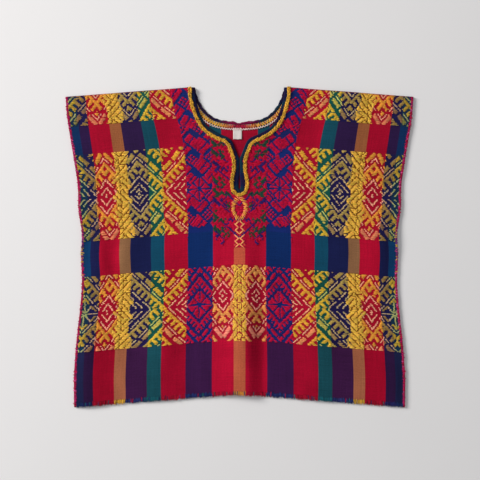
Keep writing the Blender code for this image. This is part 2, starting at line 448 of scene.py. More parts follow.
class Band(NamedTuple):
    """A stretch of the cloth's length: where it ends, and which of a stripe's colours it shows."""

    foot: float
    shows: str


BANDS = (
    Band(0.056, "ground"),
    Band(0.108, "upper"),
    Band(0.268, "ground"),
    Band(0.332, "waist"),
    Band(0.470, "ground"),
    Band(0.600, "lower"),
)


# Finishes

Scales = tuple[float, float, float]
WAVE_SCALE = 0.314  # of a wave texture with a band to every metre


class Nodes:
    """A material's node tree, with short calls to add and link nodes."""

    def __init__(self, name: str) -> None:
        """Starts a material with one Principled shader.

        Args:
            name: The material's name.
        """
        self.material = bpy.data.materials.new(name)
        self.material.use_nodes = True
        self.tree = self.material.node_tree
        self.shader = self.tree.nodes["Principled BSDF"]

    def add(self, kind: str, inputs: dict | None = None, **settings: object) -> bpy.types.Node:
        """Adds a node.

        Args:
            kind: The node's type.
            inputs: Sockets by name or number, each with a value or with the output socket to link.
            settings: The node's own properties.

        Returns:
            The new node.
        """
        node = self.tree.nodes.new(kind)
        for name, value in settings.items():
            setattr(node, name, value)
        for name, value in (inputs or {}).items():
            self.feed(node.inputs[name], value)
        return node

    def feed(self, socket: bpy.types.NodeSocket, value: object) -> None:
        """Links an output to a socket, or sets the socket's value.

        Args:
            socket: The input.
            value: An output socket or a plain value.
        """
        if isinstance(value, bpy.types.NodeSocket):
            self.tree.links.new(value, socket)
        else:
            socket.default_value = value

    def math(self, operation: str, *values: object) -> bpy.types.NodeSocket:
        """The result of a Math node."""
        return self.add("ShaderNodeMath", dict(enumerate(values)), operation=operation).outputs[0]

    def mix(self, factor: object, first: object, second: object, blend: str = "MIX") -> bpy.types.NodeSocket:
        """The result of mixing two colours.

        Args:
            factor: How much of the second colour shows.
            first: One colour.
            second: The other colour.
            blend: How they are blended.

        Returns:
            The mixed colour's socket.
        """
        node = self.add("ShaderNodeMix", data_type="RGBA", blend_type=blend)
        for socket, value in ((node.inputs[0], factor), (node.inputs[6], first), (node.inputs[7], second)):
            self.feed(socket, value)
        return node.outputs[2]

    def shaded(self, colour: object, shade: object) -> bpy.types.NodeSocket:
        """A colour made lighter and darker by a shade."""
        grey = self.add("ShaderNodeCombineColor", {0: shade, 1: shade, 2: shade}).outputs[0]
        return self.mix(1.0, colour, grey, "MULTIPLY")

    def waves(self, vector: object, pitch: float, distortion: float, detail: float) -> bpy.types.NodeSocket:
        """Even bands at a pitch in metres."""
        inputs = {"Vector": vector, "Scale": WAVE_SCALE / pitch, "Distortion": distortion, "Detail": detail}
        return self.add("ShaderNodeTexWave", inputs).outputs[1]

    def noise(self, vector: object, scale: float, detail: float = 2.0) -> bpy.types.NodeSocket:
        """A noise pattern's value."""
        return self.add("ShaderNodeTexNoise", {"Vector": vector, "Scale": scale, "Detail": detail}).outputs[0]

    def stretch(self, vector: object, scale: Scales, turn: float = 0.0) -> object:
        """Coordinates scaled on each axis after a turn about Z."""
        inputs = {"Vector": vector, "Scale": scale, "Rotation": (0.0, 0.0, turn)}
        return self.add("ShaderNodeMapping", inputs).outputs[0]

    def ramp(self, factor: object, stops: Sequence[tuple[float, Array]], steps: bool) -> bpy.types.NodeSocket:
        """A colour ramp's colour.

        Args:
            factor: The value that is looked up.
            stops: Each position and its linear colour.
            steps: Whether the colours change at once, as between stripes.

        Returns:
            The colour socket.
        """
        node = self.add("ShaderNodeValToRGB", {0: factor})
        ramp = node.color_ramp
        ramp.interpolation = "CONSTANT" if steps else "LINEAR"
        while len(ramp.elements) < len(stops):
            ramp.elements.new(1.0)
        for element, (position, colour) in zip(ramp.elements, stops):
            element.position = position
            element.color = (*colour, 1.0)
        return node.outputs[0]

    def finish(self, colour: object, height: object, depth: float, roughness: float, sheen: float) -> object:
        """Feeds the shader.

        Args:
            colour: The base colour.
            height: The bump's height.
            depth: How deep the bump is, in metres.
            roughness: The surface's roughness.
            sheen: Weight of the fibres' sheen.

        Returns:
            The material.
        """
        bump = self.add("ShaderNodeBump", {"Height": height, "Distance": depth, "Strength": 1.0})
        self.feed(self.shader.inputs["Base Color"], colour)
        self.feed(self.shader.inputs["Normal"], bump.outputs[0])
        self.shader.inputs["Roughness"].default_value = roughness
        self.shader.inputs["Sheen Weight"].default_value = sheen
        self.shader.inputs["Sheen Roughness"].default_value = 0.6
        self.shader.inputs["Specular IOR Level"].default_value = 0.08
        return self.material


@dataclass(frozen=True)
class StripedCloth:
    """Plain-woven cloth in warp stripes, whose weft changes from band to band."""

    name: str
    stripes: Sequence[Stripe]
    thread: float = 0.0011  # pitch of the warp and weft threads
    across: float = 0.6  # metres of cloth that the threads across it are counted on
    streaks: float = 0.34
    flecks: float = 0.55
    streak_grain: Scales = (520.0, 9.0, 1.0)
    slub_grain: Scales = (14.0, 420.0, 1.0)
    fleck_grain: Scales = (190.0, 330.0, 1.0)
    patch_grain: float = 9.0
    weave_shade: float = 0.10
    relief: float = 0.00022

    def stripe_colours(self, nodes: Nodes, share: object, shows: str) -> bpy.types.NodeSocket:
        """The stripes' colours in the bands that show one of their fields.

        Args:
            nodes: The material's nodes.
            share: Distance from the middle of the blouse, from 0 to 1.
            shows: The field's name.

        Returns:
            The colour socket.
        """
        inner = [0.0, *(stripe.outer for stripe in self.stripes[:-1])]
        stops = [(edge, linear(getattr(stripe, shows))) for edge, stripe in zip(inner, self.stripes)]
        return nodes.ramp(share, stops, steps=True)

    def material(self) -> bpy.types.Material:
        """Builds the material on the panel's own UV map.

        Returns:
            The material.
        """
        nodes = Nodes(self.name)
        uv = nodes.add("ShaderNodeUVMap", uv_map="UVMap").outputs[0]
        split = nodes.add("ShaderNodeSeparateXYZ", {0: uv})
        share = nodes.math("ABSOLUTE", nodes.math("MULTIPLY_ADD", split.outputs[0], 2.0, -1.0))
        drop = nodes.math("MULTIPLY", nodes.math("SUBTRACT", 1.0, split.outputs[1]), LAY.length)
        colour = self.stripe_colours(nodes, share, BANDS[0].shows)
        for band, following in zip(BANDS, BANDS[1:]):
            past = nodes.math("GREATER_THAN", drop, band.foot)
            colour = nodes.mix(past, colour, self.stripe_colours(nodes, share, following.shows))
        streak = nodes.noise(nodes.stretch(uv, self.streak_grain), 1.0)
        slub = nodes.noise(nodes.stretch(uv, self.slub_grain), 1.0)
        patch = nodes.noise(uv, self.patch_grain)
        shade = nodes.math("ADD", nodes.math("ADD", streak, slub), patch)
        shade = nodes.math("MULTIPLY_ADD", nodes.math("SUBTRACT", shade, 1.5), self.streaks * 1.6, 1.0)
        fleck = nodes.noise(nodes.stretch(uv, self.fleck_grain), 1.0)
        shade = nodes.math("MULTIPLY_ADD", nodes.math("SUBTRACT", fleck, 0.5), self.flecks, shade)
        weave = self.weave(nodes, split)
        shade = nodes.math("MULTIPLY", shade, nodes.math("MULTIPLY_ADD", weave, self.weave_shade, 1.0))
        colour = nodes.shaded(colour, shade)
        height = nodes.math("ADD", weave, nodes.math("MULTIPLY", slub, 0.8))
        return nodes.finish(colour, height, self.relief, roughness=0.95, sheen=0.01)

    def weave(self, nodes: Nodes, split: bpy.types.Node) -> bpy.types.NodeSocket:
        """The rise and fall of the threads, from -1 to 1.

        Args:
            nodes: The material's nodes.
            split: The UV map's two values, apart.

        Returns:
            The height socket.
        """
        turns = math.pi / self.thread
        over = nodes.math("SINE", nodes.math("MULTIPLY", split.outputs[0], self.across * turns))
        under = nodes.math("SINE", nodes.math("MULTIPLY", split.outputs[1], LAY.length * turns))
        return nodes.math("MULTIPLY", over, under)


@dataclass(frozen=True)
class Yarn:
    """Soft cotton yarn whose colour comes from the stitches' own colours."""

    name: str
    twist: float = 0.0009  # pitch of the plies
    turn: float = 0.9
    fibre_grain: Scales = (900.0, 2600.0, 900.0)
    patch_grain: float = 60.0
    relief: float = 0.00025

    def material(self) -> bpy.types.Material:
        """Builds the material.

        Returns:
            The material.
        """
        nodes = Nodes(self.name)
        own = nodes.add("ShaderNodeAttribute", attribute_name="yarn").outputs[0]
        place = nodes.add("ShaderNodeTexCoord").outputs["Object"]
        ply = nodes.waves(nodes.stretch(place, (1.0, 1.0, 1.0), self.turn), self.twist, 2.5, 1.0)
        fibre = nodes.noise(nodes.stretch(place, self.fibre_grain), 1.0)
        patch = nodes.noise(place, self.patch_grain)
        shade = nodes.math("MULTIPLY_ADD", fibre, 0.30, 0.78)
        shade = nodes.math("ADD", shade, nodes.math("MULTIPLY", ply, 0.14))
        shade = nodes.math("ADD", shade, nodes.math("MULTIPLY", nodes.math("SUBTRACT", patch, 0.5), 0.35))
        colour = nodes.shaded(own, shade)
        height = nodes.math("ADD", ply, nodes.math("MULTIPLY", fibre, 0.5))
        return nodes.finish(colour, height, self.relief, roughness=0.85, sheen=0.03)


@dataclass(frozen=True)
class DyedCloth:
    """Dark cloth cut across its stripes, so that its colour wanders along a strip."""

    name: str
    colours: Sequence[str]
    wander: float = 22.0
    thread: float = 0.0012
    depth: float = 0.0003
    middle: str = ""  # colour near the middle of the blouse, if it has its own
    middle_reach: tuple[float, float] = (0.018, 0.040)  # where that colour starts to fade, and is gone

    def material(self) -> bpy.types.Material:
        """Builds the material on object coordinates.

        Returns:
            The material.
        """
        nodes = Nodes(self.name)
        place = nodes.add("ShaderNodeTexCoord").outputs["Object"]
        wandering = nodes.noise(nodes.stretch(place, (1.0, 0.8, 0.2)), self.wander, 0.5)
        last = len(self.colours) - 1
        stops = [(0.30 + 0.40 * at / last, linear(code)) for at, code in enumerate(self.colours)]
        colour = nodes.ramp(wandering, stops, steps=False)
        if self.middle:
            x = nodes.math("ABSOLUTE", nodes.add("ShaderNodeSeparateXYZ", {0: place}).outputs[0])
            start, end = self.middle_reach
            away = nodes.add("ShaderNodeMapRange", {0: x, 1: start, 2: end}).outputs[0]
            colour = nodes.mix(away, (*linear(self.middle), 1.0), colour)
        grain = nodes.noise(place, 900.0)
        rib = nodes.waves(nodes.stretch(place, (1.0, 1.0, 0.3), 0.7), self.thread, 1.5, 2.0)
        shade = nodes.math("MULTIPLY_ADD", grain, 0.5, 0.72)
        colour = nodes.shaded(colour, shade)
        height = nodes.math("ADD", grain, rib)
        return nodes.finish(colour, height, self.depth, roughness=0.95, sheen=0.02)


@dataclass(frozen=True)
class PaleFloor:
    """A plain pale floor with a faint grain."""

    name: str = "pale_floor"
    colour: str = "e6e6e8"

    def material(self) -> bpy.types.Material:
        """Builds the material on object coordinates.

        Returns:
            The material.
        """
        nodes = Nodes(self.name)
        place = nodes.add("ShaderNodeTexCoord").outputs["Object"]
        grain = nodes.noise(place, 4.0)
        pale, deep = (*linear(self.colour), 1.0), (*(linear(self.colour) * 0.97), 1.0)
        colour = nodes.mix(grain, pale, deep)
        return nodes.finish(colour, nodes.noise(place, 600.0), 0.0001, roughness=0.95, sheen=0.0)


# Pieces


def deselect() -> None:
    """Leaves nothing selected, in object mode."""
    if bpy.context.mode != "OBJECT":
        bpy.ops.object.mode_set(mode="OBJECT")
    bpy.ops.object.select_all(action="DESELECT")


def activate(piece: bpy.types.Object) -> None:
    """Selects one piece alone, ready for an operator.

    Args:
        piece: The piece.
    """
    deselect()
    bpy.context.view_layer.objects.active = piece
    piece.select_set(True)


def apply_modifiers(piece: bpy.types.Object) -> None:
    """Applies a piece's modifiers in order.

    Args:
        piece: The piece.
    """
    activate(piece)
    for modifier in list(piece.modifiers):
        bpy.ops.object.modifier_apply(modifier=modifier.name)
    piece.select_set(False)


def sewn_on(piece: bpy.types.Object, stands_for: Sequence[str] = ()) -> bpy.types.Object:
    """Makes a piece ride on the blouse's one body.

    Args:
        piece: The finished piece.
        stands_for: The frame's nodes that it replaces.

    Returns:
        The piece.
    """
    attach(piece, BODY)
    if stands_for:
        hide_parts(*stands_for)
    log.info("%s: %d faces", piece.name, len(piece.data.polygons))
    return piece


def grid_sheet(name: str, columns: int, rows: int, place: Callable[[Array, Array], Array]) -> bpy.types.Object:
    """A sheet of cloth shaped from a grid.

    Args:
        name: The piece's name.
        columns: Cells across.
        rows: Cells down.
        place: Gives rows of x, y and z for u, from 0 to 1 across, and v, from 0 at the foot to 1 at the top.

    Returns:
        The open sheet, with the grid's own UV map.
    """
    deselect()
    bpy.ops.mesh.primitive_grid_add(x_subdivisions=columns, y_subdivisions=rows, size=1.0)
    sheet = bpy.context.object
    sheet.name = sheet.data.name = name
    mesh = sheet.data
    points = points_of(mesh)
    mesh.vertices.foreach_set("co", place(points[:, 0] + 0.5, points[:, 1] + 0.5).ravel())
    mesh.update()
    if sum(face.normal.z * face.area for face in mesh.polygons) < 0:
        mesh.flip_normals()
    mesh.shade_smooth()
    return sheet


def points_of(mesh: bpy.types.Mesh) -> Array:
    """A mesh's points as rows of x, y and z.

    Args:
        mesh: The mesh.

    Returns:
        A row for each point.
    """
    points = np.empty(len(mesh.vertices) * 3)
    mesh.vertices.foreach_get("co", points)
    return points.reshape(-1, 3)


def cut_away(sheet: bpy.types.Object, outline: Array) -> None:
    """Deletes a sheet's points that lie inside an outline.

    Args:
        sheet: The sheet.
        outline: The outline's corners as rows of x and y.
    """
    x, y, _ = points_of(sheet.data).T
    doomed = inside(x, y, outline)
    activate(sheet)
    bpy.ops.object.mode_set(mode="EDIT")
    bpy.ops.mesh.select_mode(type="VERT")
    bpy.ops.mesh.select_all(action="DESELECT")
    bpy.ops.object.mode_set(mode="OBJECT")
    sheet.data.vertices.foreach_set("select", doomed)
    bpy.ops.object.mode_set(mode="EDIT")
    bpy.ops.mesh.delete(type="VERT")
    bpy.ops.object.mode_set(mode="OBJECT")


def thicken(sheet: bpy.types.Object, thickness: float) -> None:
    """Gives a sheet its wall, below its own face, and applies it.

    Args:
        sheet: The open sheet.
        thickness: The wall's thickness.
    """
    wall = sheet.modifiers.new("wall", "SOLIDIFY")
    wall.thickness = thickness
    wall.offset = -1.0
    apply_modifiers(sheet)


class Section(Enum):
    """How finely a stitch is shaped: stations along it as share, width and height, and points round it."""

    PLAIN = (((0.0, 0.50, 0.10), (0.24, 1.0, 0.95), (0.76, 1.0, 0.95), (1.0, 0.50, 0.10)), 4)
    FLAT = (((0.0, 1.0, 0.6), (0.5, 1.0, 1.0), (1.0, 1.0, 0.6)), 3)
    FULL = (
        (
            (0.0, 0.30, 0.25),
            (0.08, 0.70, 0.62),
            (0.28, 0.96, 0.95),
            (0.5, 1.0, 1.0),
            (0.72, 0.96, 0.95),
            (0.92, 0.70, 0.62),
            (1.0, 0.30, 0.25),
        ),
        6,
    )


class Size(NamedTuple):
    """A stitch's length, width and height, in metres."""

    length: float
    width: float
    height: float


@dataclass
class Stitches:
    """Many stitches in one mesh, each a small pillow of yarn that lies on a surface."""

    name: str
    surface: Surface
    section: Section = Section.PLAIN
    upward: float = 1.0  # -1 for stitches on the underside of a sheet
    parts: list[Array] = field(default_factory=list)

    def add(
        self, x: Array, y: Array, turn: Array, length: Array, width: Array, height: Array, colour: Array, lift: Array
    ) -> None:
        """Adds stitches. Each value is one for all of them, or one for each.

        Args:
            x: Where each stitch's middle lies, across the blouse.
            y: Where it lies, toward the shoulders.
            turn: Its direction in the plan, in radians from +X.
            length: Its length.
            width: Its width.
            height: How far it stands up.
            colour: Linear red, green and blue, a row for each stitch.
            lift: Extra height of its underside.
        """
        count = len(x)
        values = [np.broadcast_to(value, (count,)) for value in (x, y, turn, length, width, height, lift)]
        self.parts.append(np.column_stack([*values, np.broadcast_to(colour, (count, 3))]))

    def build(self, material: bpy.types.Material) -> bpy.types.Object:
        """Makes the mesh, with each stitch's colour in the yarn attribute.

        Args:
            material: The yarn's finish.

        Returns:
            The stitches in one piece.
        """
        x, y, turn, length, width, height, lift, *_ = np.vstack(self.parts).T
        colour = np.vstack(self.parts)[:, 7:10]
        stations, around = self.section.value
        angles = np.linspace(0, math.pi, around)
        ring = [(-math.cos(a), math.sin(a)) for a in angles]
        template = np.array(
            [(t - 0.5, w * side / 2, h * up) for t, w, h in stations for side, up in ring]
        )
        along = template[:, 0] * length[:, None]
        across = template[:, 1] * width[:, None]
        px = x[:, None] + along * np.cos(turn)[:, None] - across * np.sin(turn)[:, None]
        py = y[:, None] + along * np.sin(turn)[:, None] + across * np.cos(turn)[:, None]
        rise = self.upward * (lift[:, None] + template[:, 2] * height[:, None])
        pz = self.surface(px, py) + rise
        points = np.stack([px, py, pz], axis=-1).reshape(-1, 3)
        faces = self.faces(len(stations), around)
        starts = np.arange(len(x))[:, None] * len(template)
        mesh = bpy.data.meshes.new(self.name)
        loops = (starts + np.concatenate(faces)).ravel()
        self.fill(mesh, points, loops, np.tile([len(face) for face in faces], len(x)))
        attribute = mesh.color_attributes.new("yarn", "FLOAT_COLOR", "POINT")
        shades = np.column_stack([np.repeat(colour, len(template), axis=0), np.ones(len(points))])
        attribute.data.foreach_set("color", shades.ravel())
        mesh.materials.append(material)
        mesh.shade_smooth()
        piece = bpy.data.objects.new(self.name, mesh)
        bpy.context.scene.collection.objects.link(piece)
        return piece

    def faces(self, stations: int, around: int) -> list[tuple[int, ...]]:
        """One stitch's faces: its skin and underside, then its two ends.

        Args:
            stations: How many rings of points a stitch has.
            around: How many points a ring has.

        Returns:
            Each face's corners.
        """
        found = []
        for at in range(stations - 1):
            for side in range(around):
                beside = (side + 1) % around
                near, far = at * around, (at + 1) * around
                found.append((near + side, near + beside, far + beside, far + side))
        end = (stations - 1) * around
        found.append(tuple(range(around)))
        found.append(tuple(range(end + around - 1, end - 1, -1)))
        return [face[::-1] for face in found] if self.upward > 0 else found

    @staticmethod
    def fill(mesh: bpy.types.Mesh, points: Array, loops: Array, sizes: Array) -> None:
        """Fills a mesh from arrays of its points, its faces' corners and how many corners each face has.

        Args:
            mesh: The empty mesh.
            points: Rows of x, y and z.
            loops: All faces' corners, one after another.
            sizes: How many corners each face has.
        """
        mesh.vertices.add(len(points))
        mesh.vertices.foreach_set("co", points.ravel())
        mesh.loops.add(len(loops))
        mesh.loops.foreach_set("vertex_index", loops)
        mesh.polygons.add(len(sizes))
        mesh.polygons.foreach_set("loop_start", np.cumsum(sizes) - sizes)
        mesh.validate(clean_customdata=False)
        mesh.update(calc_edges=True)


# Brocade


class Thread(IntEnum):
    """What shows at a place of the brocade chart."""

    LEFT_ALONE = -1
    GROUND = 0
    PATTERN = 1
    SECOND = 2
    LINE = 3
    GOLD = 4
    CRIMSON = 5
    GREEN = 6
    PURPLE = 7


OWN_YARNS = {  # whose colour changes with the stripe, and the stripe's name for it
    Thread.PATTERN: "yarn",
    Thread.SECOND: "second",
    Thread.LINE: "line",
}
DYED_YARNS = {
    Thread.GOLD: "f8c850",
    Thread.CRIMSON: "cc063e",
    Thread.GREEN: "1c4c3e",
    Thread.PURPLE: "2c2070",
}
Motif = Callable[[Array, Array, float], Array]


def near(value: Array, at: float, width: float) -> Array:
    """Whether a value is within half a width of a place."""
    return np.abs(value - at) < width / 2


def marks(where: Array, thread: Thread) -> Array:
    """A chart that shows one thread where asked and the ground elsewhere."""
    return np.where(where, thread, Thread.GROUND)


def over(chart: Array, where: Array, thread: Thread) -> Array:
    """A chart with one thread laid over it."""
    return np.where(where, thread, chart)


def diagonals(x: Array, y: Array) -> tuple[Array, Array]:
    """Distances along the two slanting directions, the rising one and the falling one."""
    return (x + y) / math.sqrt(2), (x - y) / math.sqrt(2)


def square(p: Array, q: Array) -> Array:
    """The half side of the lozenge that passes through a place."""
    return np.maximum(np.abs(p), np.abs(q))


# Motifs, which fill a lozenge. All measures are in millimetres.


def outlined(p: Array, q: Array, half: float) -> Array:
    """Plain ground with two thin broken lines, one inside the other, and a dot.

    Args:
        p: Distance from one of the lozenge's axes.
        q: Distance from the other.
        half: Half the lozenge's side.

    Returns:
        The thread numbers.
    """
    ring = square(p, q)
    lines = near(ring, half - 4.6, 1.8) & (p + q > -6.0) | near(ring, half - 12.2, 1.8) & (q > -0.4 * half)
    chart = marks(lines & ((p - q) % 23.0 > 3.6), Thread.LINE)
    return over(chart, ring < 1.9, Thread.LINE)


def star(p: Array, q: Array, half: float) -> Array:
    """Eight rays of ground between lozenges of yarn.

    Args:
        p: Distance from one of the lozenge's axes.
        q: Distance from the other.
        half: Half the lozenge's side. Not used.

    Returns:
        The thread numbers.
    """
    rays = (np.abs(p) < 1.3) | (np.abs(q) < 1.3) | (np.abs(np.abs(p) - np.abs(q)) < 1.9)
    return marks(~rays & (np.hypot(p, q) > 3.2), Thread.PATTERN)


def burst(p: Array, q: Array, half: float) -> Array:
    """Thin rays of yarn from the middle of plain ground.

    Args:
        p: Distance from one of the lozenge's axes.
        q: Distance from the other.
        half: Half the lozenge's side.

    Returns:
        The thread numbers.
    """
    rays = (np.abs(p) < 1.2) | (np.abs(q) < 1.2) | (np.abs(np.abs(p) - np.abs(q)) < 1.6)
    chart = marks(rays & (np.hypot(p, q) > 2.0), Thread.LINE)
    return over(chart, near(square(p, q), half - 1.5, 3.0) & ((p - q) % 19.0 > 6.0), Thread.PATTERN)


class Weft(Enum):
    """Which yarns take the place of a stretch's own."""

    YELLOW = {}
    RED = {
        Thread.PATTERN: Thread.CRIMSON,
        Thread.SECOND: Thread.CRIMSON,
        Thread.LINE: Thread.PURPLE,
    }


class Strip(NamedTuple):
    """A strip that runs alongside a lozenge: where it starts and ends, its thread, and slots that cut it in teeth."""

    start: float
    end: float
    thread: Thread = Thread.PATTERN
    pitch: float = 1.0
    slot: float = 0.0


ABOVE = (
    Strip(0.0, 10.8, pitch=10.8, slot=5.2),
    Strip(10.8, 15.4),
    Strip(18.6, 20.2, Thread.LINE, pitch=31.0, slot=6.0),
    Strip(23.6, 30.4, pitch=25.0, slot=5.0),
)
BELOW = (
    Strip(0.0, 4.6),
    Strip(4.6, 15.4, pitch=10.8, slot=5.2),
    Strip(18.6, 20.2, Thread.LINE, pitch=29.0, slot=6.0),
    Strip(23.6, 30.4, Thread.SECOND, pitch=25.0, slot=5.0),
)


@dataclass(frozen=True)
class Column:
    """A column of brocade between two places, in millimetres from the middle of the blouse."""

    inner: float
    outer: float

    def draw(self, x: Array, y: Array, middle: float) -> Array:
        """Charts the column.

        Args:
            x: Distance from the middle of the blouse.
            y: Distance below the top of the band.
            middle: Where the band's middle row lies below its top.

        Returns:
            The thread numbers at all places given, LEFT_ALONE where the column doesn't reach.
        """
        raise NotImplementedError

    def outside(self, x: Array) -> Array:
        """Whether places lie outside the column."""
        return (x < self.inner) | (x > self.outer)


@dataclass(frozen=True)
class Lozenge(Column):
    """A lozenge in the middle of a band, and strips alongside it to the band's top and foot."""

    centre: float
    across: float
    down: float
    heart: Motif
    shift: float = 0.0
    scale: float = 1.0
    border: float = 4.2  # of ground on each side of the lozenge's edge
    repeat: float = 38.0  # of the strips
    weft: Weft = Weft.YELLOW

    def draw(self, x: Array, y: Array, middle: float) -> Array:
        """Charts the lozenge and its strips.

        Args:
            x: Distance from the middle of the blouse.
            y: Distance below the top of the band.
            middle: Where the band's middle row lies below its top.

        Returns:
            The thread numbers at all places given.
        """
        half = self.across * self.down / math.hypot(self.across, self.down)
        side = np.abs(x - self.centre) / self.across
        down = (y - middle - self.shift) / self.down
        p, q = (side + np.abs(down)) * half, (side - np.abs(down)) * half
        room = half - self.border
        chart = np.where(square(p, q) < room, self.heart(p, q, room), Thread.GROUND)
        beyond = (p - half - self.border) / self.scale
        number, place = np.floor(beyond / self.repeat), beyond % self.repeat
        for strips, part in ((ABOVE, down < 0), (BELOW, down >= 0)):
            for strip in strips:
                here = part & (beyond >= 0) & (place >= strip.start) & (place < strip.end)
                tooth = (q / self.scale + 7.0 * number) % strip.pitch >= strip.slot
                chart = over(chart, here & tooth, strip.thread)
        edge = near(p, half, 1.9) & (q % 27.0 > 5.0)
        chart = over(chart, edge, Thread.LINE)
        for plain, instead in self.weft.value.items():
            chart = over(chart, chart == plain, instead)
        return over(chart, self.outside(x), Thread.LEFT_ALONE)


@dataclass(frozen=True)
class Braid(Column):
    """A column of dense golden strokes that slant one way and the other, and run over their neighbours."""

    centre: float
    pitch: float = 12.0
    gap: float = 3.0
    turn_every: float = 26.0
    flare: float = 8.0

    def draw(self, x: Array, y: Array, middle: float) -> Array:
        """Charts the strokes, in legs that slant, point up, slant back and point down.

        Args:
            x: Distance from the middle of the blouse.
            y: Distance below the top of the band.
            middle: Where the band's middle row lies below its top.

        Returns:
            The thread numbers at all places given, LEFT_ALONE where the column doesn't reach.
        """
        across = x - self.centre
        leg = np.floor((y - middle + 12.0) / self.turn_every) % 4
        slant = np.choose(leg.astype(int), [across, np.abs(across), -across, -np.abs(across)])
        place = (y - middle + slant) % self.pitch
        cut = near(across, 3.4, 1.7) & (place > 0.45 * self.pitch)
        chart = marks((place > self.gap) & ~cut, Thread.GOLD)
        wave = np.sin((y - middle) / 7.0 + 1.8 * np.sin((y - middle) / 19.0) + np.sign(across))
        flared = self.outer - self.centre + self.flare * np.maximum(wave, 0)
        bare = (np.abs(across) > flared) | (chart == Thread.GROUND)
        return over(chart, self.outside(x) & bare, Thread.LEFT_ALONE)


class HookColumn(NamedTuple):
    """A column of hooks: how far out it stands, a hook's size, and how far down the first one is."""

    centre: float
    size: float
    start: float


@dataclass(frozen=True)
class RedField(Column):
    """The yoke's inner stripe: red floats crossed by fine purple lines, with green hooks down its outer side."""

    spacing: float = 21.0
    hook_every: float = 23.0
    hook_columns: Sequence[HookColumn] = (
        HookColumn(44.0, 9.0, 20.0),
        HookColumn(29.0, 5.5, 96.0),
        HookColumn(18.0, 4.6, 190.0),
    )

    def draw(self, x: Array, y: Array, middle: float) -> Array:
        """Charts the field.

        Args:
            x: Distance from the middle of the blouse.
            y: Distance below the top of the band.
            middle: Where the band's middle row lies below its top. Not used.

        Returns:
            The thread numbers at all places given, LEFT_ALONE where the column doesn't reach.
        """
        rising, falling = diagonals(x, y)
        chart = marks(np.ones(x.shape, dtype=bool), Thread.CRIMSON)
        slots = near(falling % 13.0, 6.5, 2.6) & (rising % 14.0 < 7.0)
        chart = over(chart, slots, Thread.GROUND)
        line = near(rising % self.spacing, self.spacing / 2, 2.4) & (y % 47 > 9)
        line = line | (near(falling % 37.0, 20.0, 2.2) & (y % 60 < 30) & (x > 20))
        chart = over(chart, line, Thread.PURPLE)
        for column in self.hook_columns:
            chart = self.hooks(chart, column, x, y)
        return over(chart, self.outside(x), Thread.LEFT_ALONE)

    def hooks(self, chart: Array, column: HookColumn, x: Array, y: Array) -> Array:
        """Lays a column of hooks over the field, each with a dot, and every third one purple.

        Args:
            chart: The thread numbers so far.
            column: The hooks' place and size.
            x: Distance from the middle of the blouse.
            y: Distance below the top of the band.

        Returns:
            The thread numbers with the hooks.
        """
        centre, size, start = column
        number = np.floor((y - start) / self.hook_every)
        u = x - centre - 3.2 * np.sin(2.3 * number)
        v = (y - start) % self.hook_every - self.hook_every / 2 + 3.0 * np.sin(1.7 * number)
        a, b = diagonals(u, v)
        b = np.where(number % 2 == 0, 1, -1) * b
        hook = near(a, 0, 0.70 * size) & (np.abs(b) < size)
        hook = hook | (near(b, 0.7 * size, 0.75 * size) & near(a, 0.5 * size, 1.6 * size))
        dot = near(a, -0.95 * size, 0.6 * size) & near(b, -0.55 * size, 0.7 * size)
        worked = (hook | dot) & (y > start)
        chart = over(chart, worked & (number % 3 < 2), Thread.GREEN)
        return over(chart, worked & (number % 3 == 2), Thread.PURPLE)


@dataclass(frozen=True)
class YokeSide(Column):
    """The yoke's outer stripe: red floats in slanted cells that strips of blue ground and fine slots part."""

    falling_pitch: float = 23.0
    rising_pitch: float = 27.0
    strip: float = 4.3
    slot: float = 2.3
    slot_pitch: float = 5.6
    star_at: tuple[float, float] = (74.2, 187.0)
    star_half: float = 15.5

    def draw(self, x: Array, y: Array, middle: float) -> Array:
        """Charts the cells, and one star among them.

        Args:
            x: Distance from the middle of the blouse.
            y: Distance below the top of the band.
            middle: Where the band's middle row lies below its top. Not used.

        Returns:
            The thread numbers at all places given, LEFT_ALONE where the column doesn't reach.
        """
        rising, falling = diagonals(x, y)
        across, along = np.floor(falling / self.falling_pitch), np.floor(rising / self.rising_pitch)
        f, r = falling % self.falling_pitch, rising % self.rising_pitch
        chart = marks(np.ones(x.shape, dtype=bool), Thread.CRIMSON)
        combed = (2 * across + along) % 3 == 1
        railed = (across + 2 * along) % 3 == 2
        combs = combed & ((f - self.strip) % self.slot_pitch < self.slot) & (r > 8.0)
        rails = railed & ((r - self.strip) % self.slot_pitch < self.slot) & (f > 9.0)
        chart = over(chart, combs | rails, Thread.GROUND)
        chart = over(chart, ~combed & ~railed & near(f, 13.5, 2.2), Thread.PURPLE)
        chart = over(chart, (f < self.strip) & ((across + along) % 3 != 0), Thread.GROUND)
        chart = over(chart, (r < self.strip) & ((across + 2 * along) % 4 != 0), Thread.GROUND)
        chart = over(chart, ((across + along) % 4 == 3) & (r < 11.0) & (f > 6.0), Thread.GROUND)
        p, q = diagonals(x - self.star_at[0], y - self.star_at[1])
        ring = square(p, q)
        rays = star(p, q, self.star_half) == Thread.GROUND
        chart = over(chart, (ring < self.star_half) & rays, Thread.GROUND)
        chart = over(chart, (ring < self.star_half) & ~rays, Thread.CRIMSON)
        chart = over(chart, near(ring, self.star_half + 1.4, 2.8), Thread.GROUND)
        return over(chart, self.outside(x), Thread.LEFT_ALONE)


